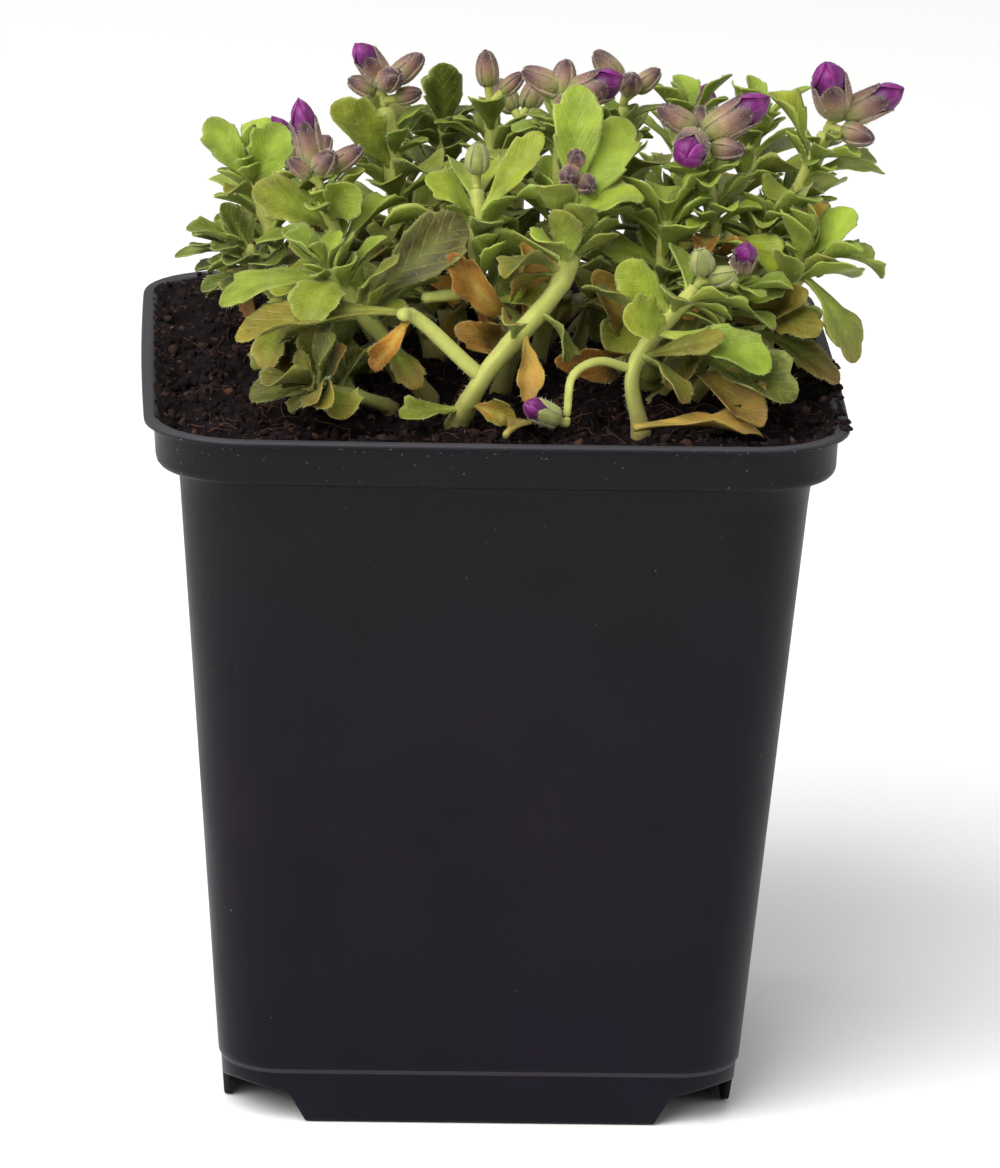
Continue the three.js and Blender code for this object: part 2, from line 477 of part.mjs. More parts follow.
function ringRound(centre, first, second, radius, sides) {
  const ring = [];
  for (let k = 0; k < sides; k++) {
    const angle = 2 * Math.PI * k / sides;
    const reach = Array.isArray(radius) ? radius[k % radius.length] : radius;
    ring.push(centre.clone()
      .addScaledVector(first, reach * Math.cos(angle))
      .addScaledVector(second, reach * Math.sin(angle)));
  }
  return ring;
}

// A stem's line above the compost: it starts at the surface, where the list gives only its place
function stemPoints(shoot) {
  const [x, y] = shoot.stem[0];
  return [new THREE.Vector3(x, y, soilHeight(x, y) + 0.3), ...shoot.stem.slice(1).map(v3)];
}

// A branch's radius at both ends: its own, or a little less than the stem's tip
function branchThick(shoot) {
  return shoot.branch.thick ?? [shoot.thick[1] * 0.9, shoot.thick[1] * 0.75];
}

function branchPoints(shoot) {
  return [along(stemPoints(shoot), shoot.branch.at), ...shoot.branch.to.map(v3)];
}

function placeOn(shoot, at) {
  const points = at > 1 ? branchPoints(shoot) : stemPoints(shoot);
  const fraction = at > 1 ? at - 1 : at;
  return { point: along(points, fraction), direction: heading(points, fraction) };
}

// A leaf's frame: its midrib leaves the base along "out", bends away from "face" by the angle "bend"
function leafFrame(base, out, face, length, half, bend, fold) {
  const forward = out.clone().normalize();
  const normal = face.clone().addScaledVector(forward, -face.dot(forward)).normalize();
  const across = normal.clone().cross(forward);
  return { base, forward, normal, across, length, half, bend, fold };
}

// A point of a leaf: s runs from its base to its tip, v across it in half widths from its midrib,
// and lift is its height over the blade's middle
function leafPoint(leaf, s, v, lift) {
  const angle = leaf.bend * s;
  const reach = leaf.length * Math.sin(angle) / leaf.bend;
  const fall = leaf.length * (1 - Math.cos(angle)) / leaf.bend;
  const rise = lift + leaf.fold * Math.abs(v) * leaf.half;
  return leaf.base.clone()
    .addScaledVector(leaf.forward, reach + rise * Math.sin(angle))
    .addScaledVector(leaf.normal, rise * Math.cos(angle) - fall)
    .addScaledVector(leaf.across, v * leaf.half);
}

// Edge points (s, v) of half a blade from the stalk to the tip, with its teeth, and its midrib
const SMALL_EDGE = [[0.6, 1], [0.73, 0.8]];
const SMALL_RIB = [0.5];
const LARGE_EDGE = [[0.3, 0.44], [0.56, 1], [0.64, 0.82], [0.8, 0.84]];
const LARGE_RIB = [0.36, 0.7];

// A blade of even thickness with toothed edges, a wedge at its stalk, split alike on both faces
function makeBlade(leaf, thick) {
  const edge = leaf.large ? LARGE_EDGE : SMALL_EDGE;
  const rib = leaf.large ? LARGE_RIB : SMALL_RIB;
  const farEdge = [...edge].reverse().map(([s, v]) => [s, -v]);
  const spots = [[0, 0], ...edge, [1, 0], ...farEdge, ...rib.map((s) => [s, 0])];
  const outline = 2 * edge.length + 2;
  const tip = edge.length + 1;
  const middle = [0, ...rib.map((s, k) => outline + k), tip];
  const faces = [...stripBetween(spots, sequence(0, tip), middle).map(([a, b, c]) => [a, c, b]),
    ...stripBetween(spots, [0, ...sequence(tip, outline - 1).reverse()], middle)];
  const count = spots.length;
  const walls = sequence(0, outline - 1).flatMap((a) => {
    const b = (a + 1) % outline;
    return [[a, b, a + count], [b, b + count, a + count]];
  });
  const face = (lift) => spots.map(([s, v]) => leafPoint(leaf, s, v, lift));
  const under = faces.map(([a, b, c]) => [a + count, c + count, b + count]);
  return solidFromFaces([...face(thick / 2), ...face(-thick / 2)], [...faces, ...under, ...walls]);
}

const sequence = (low, high) => Array.from({ length: high - low + 1 }, (_, k) => low + k);

// Triangles between a blade's edge and its midrib, which share their first and last points
function stripBetween(spots, edge, middle) {
  const faces = [];
  let i = 0;
  let j = 0;
  while (i + 1 < edge.length || j + 1 < middle.length) {
    const edgeNext = i + 1 < edge.length ? spots[edge[i + 1]][0] : Infinity;
    const middleNext = j + 1 < middle.length ? spots[middle[j + 1]][0] : Infinity;
    const corner = edgeNext <= middleNext ? edge[i + 1] : middle[j + 1];
    const face = [middle[j], edge[i], corner];
    if (edgeNext <= middleNext) i += 1;
    else j += 1;
    if (new Set(face).size === 3) faces.push(face);
  }
  return faces;
}

// Places kept free: a point with the direction it is flat along, its reach sideways and its half height.
// The owner is the shoot's place in the list, or NO_SHOOT for a head.
const taken = [];
const NO_SHOOT = -1;
const AT_BASE = 3;               // a shoot's own leaves may meet this close to where they leave the stem
const FAR_APART = 16;            // square of the distance past which two places can't meet

const SAMPLE_ROWS = [[0.24, 0.36], [0.45, 0.72], [0.65, 0.98], [0.84, 0.7], [1, 0.15]];
const SAMPLE_SPOTS = SAMPLE_ROWS.flatMap(([s, w]) => [[s, -0.85 * w], [s, 0], [s, 0.85 * w]]);
const HALF_SPACE = 1.15;         // half height kept free over a blade's middle
const LEAF_CLEAR = 0.8;          // from a blade's middle down to the compost or the lip
const STEM_CLEAR = 1.0;          // from a stem's or a bud's surface to a blade's middle
const STEM_PLACES = 20;
const BUD_PLACES = [-0.3, 0.1, 0.4, 0.7, 1, 1.2];

function samplesOf(leaf) {
  const reach = 0.5 + 0.6 * Math.max(0.22 * leaf.length, 0.8 * leaf.half);
  return SAMPLE_SPOTS.map(([s, v]) => {
    const angle = leaf.bend * s;
    const normal = leaf.normal.clone().multiplyScalar(Math.cos(angle))
      .addScaledVector(leaf.forward, Math.sin(angle));
    return { point: leafPoint(leaf, s, v, 0), normal, reach };
  });
}

// Whether a leaf would meet the compost, the lip or anything already placed
function crosses(owner, leaf, samples) {
  for (const { point } of samples) {
    if (point.z < lowestHeight(point.x, point.y) + LEAF_CLEAR) return true;
  }
  const offset = new THREE.Vector3();
  for (const other of taken) {
    if (other.owner === owner && (other.stem || other.point.distanceTo(leaf.base) < AT_BASE)) continue;
    for (const sample of samples) {
      offset.subVectors(sample.point, other.point);
      const square = offset.lengthSq();
      if (square > FAR_APART) continue;
      const high = Math.abs(offset.dot(other.normal));
      const flat = square - high * high;
      if (flat / (other.reach * other.reach) + high * high / (other.height * other.height) < 1) return true;
      if (other.stem) continue;
      const highHere = Math.abs(offset.dot(sample.normal));
      const flatHere = square - highHere * highHere;
      const { reach } = sample;
      if (flatHere / (reach * reach) + highHere * highHere / (HALF_SPACE * HALF_SPACE) < 1) return true;
    }
  }
  return false;
}

// Every leaf, single ones first, then the rule's, each spiralling up its stem by the golden angle
function growLeaves() {
  const leaves = SHOOTS.map(() => []);
  const add = (index, leaf) => {
    leaves[index].push(leaf);
    samplesOf(leaf).forEach((sample) => taken.push({ owner: index, height: HALF_SPACE, ...sample }));
  };
  SINGLE_LEAVES.forEach(({ shoot, at, to, half, bend, face }) => {
    const index = SHOOTS.findIndex(({ name }) => name === shoot);
    const { point } = placeOn(SHOOTS[index], at);
    const chord = v3(to).sub(point);
    const straight = chord.length();
    const length = straight * (bend / 2) / Math.sin(bend / 2);
    chord.normalize();
    const normal = v3(face).addScaledVector(chord, -v3(face).dot(chord)).normalize();
    const out = chord.clone().multiplyScalar(Math.cos(bend / 2)).addScaledVector(normal, Math.sin(bend / 2));
    const leaf = leafFrame(point, out, normal, length, half, bend, 0.12);
    leaf.large = true;
    add(index, leaf);
  });
  SHOOTS.forEach((shoot, index) => {
    const phase = draw(0, 2 * Math.PI);
    for (let i = 0; i < shoot.leaves; i++) {
      const f = shoot.leaves > 1 ? i / (shoot.leaves - 1) : 1;
      const at = mix(shoot.low, 0.985, Math.pow(f, 0.6));
      const turn = phase + i * GOLDEN_ANGLE + draw(-0.25, 0.25);
      const open = mix(1.25, 0.42, f) + draw(-0.15, 0.15);
      const length = mix(shoot.lengths[0], shoot.lengths[1], f) * draw(0.9, 1.1);
      const half = length * draw(0.25, 0.31);
      const bend = mix(1.1, 0.45, f) * draw(0.7, 1.3);
      const fold = draw(0.08, 0.3);
      const { point, direction } = placeOn(shoot, at);
      const [first, second] = sideways(direction);
      for (const [moreTurn, moreOpen, shrink] of BENDS) {
        const side = first.clone().multiplyScalar(Math.cos(turn + moreTurn))
          .addScaledVector(second, Math.sin(turn + moreTurn));
        const out = direction.clone().multiplyScalar(Math.cos(open + moreOpen))
          .addScaledVector(side, Math.sin(open + moreOpen));
        out.z += 0.2;
        const face = direction.clone();
        face.z += 0.5;
        const leaf = leafFrame(point, out, face, length * shrink, half * shrink, bend, fold);
        if (!crosses(index, leaf, samplesOf(leaf))) {
          add(index, leaf);
          break;
        }
      }
    }
  });
  return leaves;
}

// Where a head starts, just clear of the end of its stem
function headStart(head) {
  const shoot = SHOOTS.find(({ name }) => name === head.shoot);
  const { point, direction } = head.onBranch ? placeOn(shoot, 2) : placeOn(shoot, 1);
  return { shoot, direction, start: point.clone().addScaledVector(direction, GAP + 0.02) };
}

// A bud's frame: its foot on the head's axis, and its own axis and middle
function budFrame(head, bud) {
  const { direction, start } = headStart(head);
  const [aim, distance, length, radius, open] = bud;
  const middle = start.clone().addScaledVector(v3(aim).normalize(), distance);
  const rank = head.buds.length - head.buds.indexOf(bud);
  const foot = start.clone().addScaledVector(direction, FOOT_STEP * rank);
  const axis = middle.clone().sub(foot).normalize();
  const base = middle.clone().addScaledVector(axis, -length / 2);
  return { foot, axis, base, length, radius, open };
}

// Sepals round a bud: four ridges with grooves between, on a thin stalk from the head's axis. A profile
// gives places along the bud and radii, as fractions of its length and radius. An open bud is a cup
// with four pointed lobes.
const CLOSED_PROFILE = [[0, 0.34], [0.3, 0.98], [0.74, 0.9]];
const CUP_PROFILE = [[0, 0.34], [0.3, 0.95]];
const CUP_FLOOR = 0.46;
const GROOVE = 0.84;
const KNOB_SIDES = 4;
const FOOT_STEP = 0.75;          // spacing of the buds' stalks up the head's axis
const KNOB_LOW = 0.85;           // radius of a head's axis at its foot and at its end
const KNOB_HIGH = 0.6;

function makeBud(frame, swell) {
  const [first, second] = sideways(frame.axis);
  const at = (s) => frame.base.clone().addScaledVector(frame.axis, s * frame.length);
  const ring = (s, r, deep = GROOVE) => ringRound(at(s), first, second,
    [r * frame.radius + swell, r * frame.radius * deep + swell], BUD_SIDES);
  if (!frame.open || swell > 0) {
    const end = 1.02 + swell / frame.length + (frame.open ? 0.3 : 0);
    return solidFromRings(CLOSED_PROFILE.map(([s, r]) => ring(s, r)), frame.foot, at(end));
  }
  const lobes = (r, tall, low) => ringRound(new THREE.Vector3(), first, second, r * frame.radius, BUD_SIDES)
    .map((p, k) => p.add(at(k % 2 ? low : tall)));
  const rings = [...CUP_PROFILE.map(([s, r]) => ring(s, r)), lobes(1, 0.84, 0.66), lobes(0.82, 0.82, 0.64),
    ring(CUP_FLOOR, 0.64, 1)];
  return solidFromRings(rings, frame.foot, at(CUP_FLOOR));
}

// Furled petals standing in the cup of an open bud: four petals wrapped round each other with a twist
const PETAL_PROFILE = [[0.52, 0.42, 0], [1, 0.84, 0.3], [1.24, 0.45, 0.7]];

function makePetals(frame) {
  const [first, second] = sideways(frame.axis);
  const at = (s) => frame.base.clone().addScaledVector(frame.axis, s * frame.length);
  const rings = PETAL_PROFILE.map(([s, r, twist]) => {
    const one = first.clone().multiplyScalar(Math.cos(twist)).addScaledVector(second, Math.sin(twist));
    const two = second.clone().multiplyScalar(Math.cos(twist)).addScaledVector(first, -Math.sin(twist));
    return ringRound(at(s), one, two, [r * frame.radius, r * frame.radius * 0.8], BUD_SIDES);
  });
  return solidFromRings(rings, at(PETAL_PROFILE[0][0]), at(1.3));
}

function makeHead(head, swell = 0) {
  const { direction, start } = headStart(head);
  const [first, second] = sideways(direction);
  const end = start.clone().addScaledVector(direction, FOOT_STEP * head.buds.length + 0.4);
  const knob = solidFromRings([ringRound(start, first, second, KNOB_LOW + swell, KNOB_SIDES),
    ringRound(end, first, second, KNOB_HIGH + swell, KNOB_SIDES)], start, end);
  return fuse([knob, ...head.buds.map((bud) => makeBud(budFrame(head, bud), swell))]);
}

function makeFallenLeaf({ place: [x, y], heading: turn, length, half }) {
  const out = new THREE.Vector3(Math.cos(turn), Math.sin(turn), 0.16);
  const base = new THREE.Vector3(x - Math.cos(turn) * length / 2, y - Math.sin(turn) * length / 2, 0);
  const leaf = leafFrame(base, out, new THREE.Vector3(0, 0, 1), length, half, 0.5, 0.25);
  leaf.large = true;
  const under = samplesOf(leaf).map(({ point }) => lowestHeight(point.x, point.y) - point.z);
  leaf.base.z = Math.max(...under) + GAP + BLADE_THICK / 2;
  return leaf;
}

function addMesh(group, name, solid, colour, roughness) {
  const { vertProperties, triVerts, numProp } = solid.getMesh();
  const geometry = new THREE.BufferGeometry();
  const positions = new Float32Array(vertProperties.length / numProp * 3);
  for (let i = 0; i < positions.length / 3; i++) {
    for (let axis = 0; axis < 3; axis++) positions[3 * i + axis] = vertProperties[numProp * i + axis];
  }
  geometry.setAttribute('position', new THREE.BufferAttribute(positions, 3));
  geometry.setIndex(new THREE.BufferAttribute(new Uint32Array(triVerts), 1));
  const material = new THREE.MeshStandardMaterial({ color: COLOURS[colour], roughness, metalness: 0 });
  const mesh = new THREE.Mesh(geometry, material);
  mesh.name = name;
  group.add(mesh);
}

function buildPlant() {
  const plant = new THREE.Group();
  addMesh(plant, 'pot', makePot(), 'pot', 0.5);
  addMesh(plant, 'compost', makeCompost(), 'compost', 1);

  // Stems and buds come first and keep their places free, and the leaves grow round them
  const up = new THREE.Vector3(0, 0, 1);
  SHOOTS.forEach((shoot, index) => {
    const lines = [stemPoints(shoot)];
    if (shoot.branch) lines.push(branchPoints(shoot));
    lines.forEach((points) => {
      for (let k = 0; k <= STEM_PLACES; k++) {
        const reach = shoot.thick[0] + STEM_CLEAR;
        const point = along(points, k / STEM_PLACES);
        taken.push({ owner: index, stem: true, point, normal: up, reach, height: reach });
      }
    });
  });
  HEADS.forEach((head) => head.buds.forEach((bud) => {
    const frame = budFrame(head, bud);
    for (const s of BUD_PLACES) {
      const point = frame.base.clone().addScaledVector(frame.axis, s * frame.length);
      const reach = frame.radius * (s < 0 ? 0.4 : 1) + STEM_CLEAR;
      taken.push({ owner: NO_SHOOT, point, normal: up, reach, height: reach });
    }
  }));
  const leaves = growLeaves();

  const stemsOf = (shoot, swell) => {
    const solids = [makeRootedStem(shoot, swell)];
    if (shoot.branch) {
      solids.push(makeStem(branchPoints(shoot), ...branchThick(shoot), 2, [], swell));
    }
    return solids;
  };
  const heads = HEADS.map((head) => ({ head, solid: makeHead(head) }));
  const petals = HEADS.flatMap((head) => head.buds
    .map((bud, k) => ({ name: `${head.name}_petals_${k + 1}`, frame: budFrame(head, bud) }))
    .filter(({ frame }) => frame.open)
    .map(({ name, frame }) => ({ name, solid: makePetals(frame) })));

  // Each leaf is trimmed by whatever of another shoot still comes within the gap of it
  const thickStems = SHOOTS.map((shoot) => stemsOf(shoot, GAP));
  const thickHeads = HEADS.map((head) => makeHead(head, GAP));
  const placed = [];
  SHOOTS.forEach((shoot, index) => {
    const blades = leaves[index].map((leaf) => {
      let blade = makeBlade(leaf, BLADE_THICK);
      const box = blade.boundingBox();
      const near = (other) => {
        const b = other.boundingBox();
        return [0, 1, 2].every((axis) => b.min[axis] < box.max[axis] && box.min[axis] < b.max[axis]);
      };
      const others = [
        ...thickStems.flatMap((solids, k) => (k === index ? [] : solids)),
        ...thickHeads,
        ...placed.filter(({ owner }) => owner !== index).map(({ solid }) => solid),
      ].filter(near);
      others.forEach((other) => {
        if (blade.intersect(other).volume() > TOUCH_VOLUME) blade = largestBody(blade.subtract(other));
      });
      placed.push({ owner: index, solid: makeBlade(leaf, BLADE_THICK + 2 * GAP) });
      return blade;
    });
    const own = fuse([...stemsOf(shoot, 0), ...blades]);
    addMesh(plant, shoot.name, largestBody(own), shoot.shade, 0.8);
  });
  heads.forEach(({ head, solid }) => addMesh(plant, head.name, solid, head.finish, 0.85));
  petals.forEach(({ name, solid }) => addMesh(plant, name, solid, 'petals', 0.6));
  FALLEN_LEAVES.forEach((fallen) => {
    addMesh(plant, fallen.name, makeBlade(makeFallenLeaf(fallen), BLADE_THICK), 'dry', 0.85);
  });
  return plant;
}

const plant = buildPlant();
const box = new THREE.Box3().setFromObject(plant);
plant.position.set(-(box.min.x + box.max.x) / 2, -(box.min.y + box.max.y) / 2, 0);

export default plant;
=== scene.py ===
"""Potted aubrieta: a low bushy plant in bud, in a square nursery pot of compost.

The plant grows by the same rule as its solids, so each leafy shoot stays where its stem stands, and is
drawn here with toothed and veined leaves, downy stems, sepals, furled petals and crumbly compost.
Lengths inside the functions are millimetres from the pot's own axis. Only finished meshes are in metres.
"""

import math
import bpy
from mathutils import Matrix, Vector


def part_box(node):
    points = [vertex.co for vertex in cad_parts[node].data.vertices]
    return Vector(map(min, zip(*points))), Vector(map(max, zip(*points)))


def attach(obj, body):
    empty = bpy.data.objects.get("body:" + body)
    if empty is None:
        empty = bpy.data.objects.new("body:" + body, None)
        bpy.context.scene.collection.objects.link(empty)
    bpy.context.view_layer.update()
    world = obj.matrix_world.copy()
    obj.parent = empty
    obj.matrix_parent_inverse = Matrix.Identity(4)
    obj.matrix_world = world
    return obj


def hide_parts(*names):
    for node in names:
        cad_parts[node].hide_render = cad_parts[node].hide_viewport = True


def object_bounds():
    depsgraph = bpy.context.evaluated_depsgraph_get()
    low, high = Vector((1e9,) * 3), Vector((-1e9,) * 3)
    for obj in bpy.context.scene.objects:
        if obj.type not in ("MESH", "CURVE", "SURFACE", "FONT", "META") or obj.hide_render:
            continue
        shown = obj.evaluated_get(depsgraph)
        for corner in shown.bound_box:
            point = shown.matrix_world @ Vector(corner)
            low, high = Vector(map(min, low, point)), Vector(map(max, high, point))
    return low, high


bl_info = {
    "name": "Potted aubrieta",
    "version": (1, 0, 0),
    "blender": (4, 5, 0),
    "location": "3D View > Sidebar > Aubrieta",
    "description": "Grows a potted aubrieta in bud around its fixed frame",
    "category": "Add Mesh",
}

from collections import namedtuple
from types import SimpleNamespace

import bpy
import numpy as np
from bpy.props import FloatProperty, FloatVectorProperty, IntProperty, PointerProperty
from bpy.types import Operator, Panel, PropertyGroup
from mathutils import Matrix, Vector

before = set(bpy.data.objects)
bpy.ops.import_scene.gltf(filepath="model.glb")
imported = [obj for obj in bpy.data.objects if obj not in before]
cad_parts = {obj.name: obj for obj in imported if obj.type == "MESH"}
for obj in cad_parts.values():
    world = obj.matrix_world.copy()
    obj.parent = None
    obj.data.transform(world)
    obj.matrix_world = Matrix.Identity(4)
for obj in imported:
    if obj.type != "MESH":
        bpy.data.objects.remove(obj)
CAD_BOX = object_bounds()
POT_LOW, POT_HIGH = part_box("pot")
MM = 0.001
AXIS = np.array([(POT_LOW.x + POT_HIGH.x) / 2, (POT_LOW.y + POT_HIGH.y) / 2, 0.0]) / MM


def linear(code):
    """The linear colour of an sRGB hex code."""
    parts = [int(code[k:k + 2], 16) / 255 for k in (0, 2, 4)]
    return tuple(p / 12.92 if p <= 0.04045 else ((p + 0.055) / 1.055) ** 2.4 for p in parts)


# Pot, as in its solid
POT_TOP = POT_HIGH.z / MM
LIP_HALF = (POT_HIGH.y - POT_LOW.y) / 2 / MM
LIP_THICK = 0.9
LIP_INNER_HALF = 43.4
BAND_HALF = 43.4
BAND_INNER_HALF = 42.4
BAND_LOW = 88.6
BODY_TOP_HALF = 40.5
BODY_LOW_HALF = 33.95
WALL = 1.0
STEP_HEIGHT = 7.3
STEP_DEPTH = 0.3
FLOOR_LOW = 6.0
FLOOR_TOP = 7.2
FOOT_HALF_LOW = 22.6
FOOT_HALF_HIGH = 24.8
FOOT_HEIGHT = 3.4                 # how far a foot reaches below the wall beside it
CORNER_HEIGHT = 4.9               # the wall's lower edge at the pot's corners
DRAIN_RADIUS = 4
DRAIN_PLACES = [(0, 0), (20, 20), (-20, 20), (-20, -20), (20, -20)]
TAPER = (BODY_TOP_HALF - BODY_LOW_HALF) / (BAND_LOW - STEP_HEIGHT)

# Compost, as in its solid
SOIL_LEVEL = 92.2
SOIL_HALF = 42.1
SOIL_CORNER = 11
GAP = 0.3

# The growing rule, as in the solids
SEED = 20261
GOLDEN_ANGLE = 2.39996
BLADE_THICK = 0.62                # a solid leaf's thickness
FOOT_STEP = 0.75                  # from one bud's foot to the next along the head's axis
HALF_SPACE = 1.15                 # kept free over and under a blade
LEAF_CLEAR = 0.8                  # from a leaf's middle plane down to the compost or the lip
STEM_CLEAR = 1.0                  # kept free round stems and buds
STEM_PLACES = 20
BUD_PLACES = [-0.3, 0.1, 0.4, 0.7, 1, 1.2]
AT_BASE = 3                       # a shoot's own places nearer than this to a leaf's foot don't count
FAR_APART = 16                    # square of the distance past which two places never meet
NO_SHOOT = -1                     # the owner of the buds' places

# Rows of a leaf's sample points: how far along it, and how wide as a share of its half width
SAMPLE_ROWS = [(0.24, 0.36), (0.45, 0.72), (0.65, 0.98), (0.84, 0.7), (1, 0.15)]

# Ways to set a leaf clear, in the order in which they are tried: more turn, more opening, and its size
BENDS = [
    (0, 0, 1), (0, 0.22, 1), (0, -0.22, 1), (0.4, 0, 1), (-0.4, 0, 1), (0, 0.44, 0.92), (0, -0.44, 0.92),
    (0.8, 0, 0.92), (-0.8, 0, 0.92), (0.4, -0.35, 0.85), (-0.4, -0.35, 0.85), (0.4, 0.35, 0.85),
    (-0.4, 0.35, 0.85), (0, 0, 0.7), (1.2, -0.2, 0.75), (-1.2, -0.2, 0.75),
]

Shoot = namedtuple("Shoot", "name stem thick leaves lengths low shade branch", defaults=[None])
Leaf = namedtuple("Leaf", "shoot at to half bend face shade", defaults=[None])
Head = namedtuple("Head", "name shoot finish buds on_branch", defaults=[False])
Fallen = namedtuple("Fallen", "name place heading length half")

# Each leafy shoot: its stem from the compost to its tip, the stem's radius at both ends, how many leaves
# the rule gives it, their lengths from the oldest to the youngest, where they start, and their shade
SHOOTS = [
    Shoot("shoot_front_centre", [[-5.3, -30], [-1.5, -32, 100.5], [8, -25, 111], [9.8, -16, 121]],
          (1.2, 1.1), 6, (13, 10), 0.72, "fresh",
          branch=dict(at=0.3, to=[[-10.2, -30.5, 106.6], [-12.5, -32.5, 108]])),
    Shoot("shoot_centre_woolly", [[1, -13], [2.6, -19, 103.5], [-2.3, -20, 108.6], [-2.7, -15, 120]],
          (1.1, 0.9), 5, (12, 10), 0.86, "fresh",
          branch=dict(at=0.64, to=[[-9.5, -24, 108]])),
    Shoot("shoot_front_right", [[18.3, -30.2], [17, -30, 100], [21, -28, 106], [25, -27, 110.5]],
          (1.0, 0.9), 6, (11, 8), 0.45, "fresh",
          branch=dict(at=0.36, to=[[12.6, -31.7, 102], [9.4, -34.2, 100.6], [8.6, -36.2, 96]],
                      thick=[0.6, 0.5])),
    Shoot("shoot_left_high", [[-15, -6], [-26, -6, 106], [-31.5, -5, 119]],
          (1.0, 0.8), 6, (13, 9), 0.35, "fresh"),
    Shoot("shoot_left_bud", [[-11, -11], [-18.5, -12.5, 106], [-22.5, -12, 119]],
          (1.1, 0.9), 7, (14, 9), 0.35, "fresh"),
    Shoot("shoot_left_front", [[-8.5, -18], [-15, -23.5, 103], [-22, -26, 112]],
          (1.1, 0.9), 7, (13, 8), 0.45, "fresh"),
    Shoot("shoot_left_low", [[-18, 0], [-26.5, -5, 101], [-32, -9, 110.5]],
          (0.9, 0.8), 6, (9.5, 6.5), 0.35, "dark"),
    Shoot("shoot_left_back", [[-19, 8], [-28, 7, 100.5], [-33.5, 6, 107]],
          (0.9, 0.8), 5, (9.5, 6.5), 0.35, "dark"),
    Shoot("shoot_top_left", [[-7, 3], [-11, 5, 106], [-14, 5, 126]],
          (1.2, 1.1), 8, (14, 10), 0.4, "mid"),
    Shoot("shoot_behind_left", [[-3, 10], [-5, 15, 107], [-6, 18, 121]],
          (1.0, 0.8), 7, (13, 9), 0.45, "dark"),
    Shoot("shoot_top_centre", [[3, 8], [1, 11, 107], [0, 13, 124]],
          (1.0, 0.8), 6, (13, 8), 0.45, "mid"),
    Shoot("shoot_top_buds", [[6, -2], [8.5, -1, 108], [8.5, -2, 126.5]],
          (1.1, 0.9), 6, (13, 9), 0.4, "mid"),
    Shoot("shoot_top_dry", [[11.5, 5], [15.5, 7, 108], [17.2, 8, 126]],
          (0.9, 0.7), 6, (13, 9), 0.35, "mid"),
    Shoot("shoot_right_centre", [[14, -10], [20, -13.5, 103], [22, -13, 116]],
          (1.0, 0.8), 7, (12, 9), 0.45, "fresh"),
    Shoot("shoot_right_bud", [[19.5, -4], [26, -8, 104], [28, -10, 114], [26.3, -9, 123]],
          (1.1, 0.9), 7, (13, 9), 0.4, "fresh"),
    Shoot("shoot_behind_right", [[15, 12], [23, 18, 107], [27, 21, 122]],
          (1.0, 0.8), 6, (13, 9), 0.4, "mid"),
    Shoot("shoot_back_right_high", [[21, 8], [31, 14, 107], [35.5, 17, 122]],
          (1.0, 0.8), 6, (13, 9), 0.4, "mid"),
    Shoot("shoot_right_high", [[26, 1], [34, 3, 105], [40, 4, 116], [43.4, 4, 123.8]],
          (1.1, 0.9), 6, (13, 9), 0.4, "fresh"),
    Shoot("shoot_right_mid", [[24, -9], [31.5, -9.5, 104], [35.3, -7.5, 115]],
          (1.0, 0.8), 6, (13, 9), 0.45, "fresh"),
    Shoot("shoot_right_low", [[25, -15], [34, -15, 103], [40.5, -13.5, 111]],
          (1.0, 0.9), 6, (12, 9), 0.6, "fresh"),
    Shoot("shoot_right_small", [[20, -19], [27, -21.5, 103], [30.5, -21.5, 110]],
          (0.8, 0.7), 4, (9, 6), 0.55, "mid"),
    Shoot("shoot_low_front_left", [[-13.5, -23], [-19, -29, 96.5], [-24, -33, 98.5]],
          (0.9, 0.7), 4, (12, 9), 0.4, "old"),
    Shoot("shoot_back_left", [[-11, 17], [-19, 24, 102], [-23.5, 28, 110]],
          (1.0, 0.8), 6, (13, 8), 0.35, "mid"),
    Shoot("shoot_back_centre", [[2.5, 18.5], [4, 28, 105], [5, 33, 117]],
          (1.0, 0.8), 6, (13, 8), 0.35, "mid"),
    Shoot("shoot_back_right", [[12.5, 20], [22, 29, 103], [28, 33, 114]],
          (1.0, 0.8), 6, (13, 8), 0.35, "mid"),
    Shoot("shoot_back_right_low", [[25, 13], [35, 19, 102], [41, 22, 110]],
          (0.9, 0.8), 5, (12, 8), 0.35, "fresh"),
    Shoot("shoot_back_left_low", [[-18, 14.5], [-26, 19.5, 99], [-30, 23, 103.5]],
          (0.9, 0.8), 5, (10, 7), 0.35, "old"),
    Shoot("shoot_back_mid_left", [[-4.5, 20.5], [-8.5, 29, 102], [-11.5, 34, 110]],
          (0.9, 0.8), 5, (12, 8), 0.35, "dark"),
]

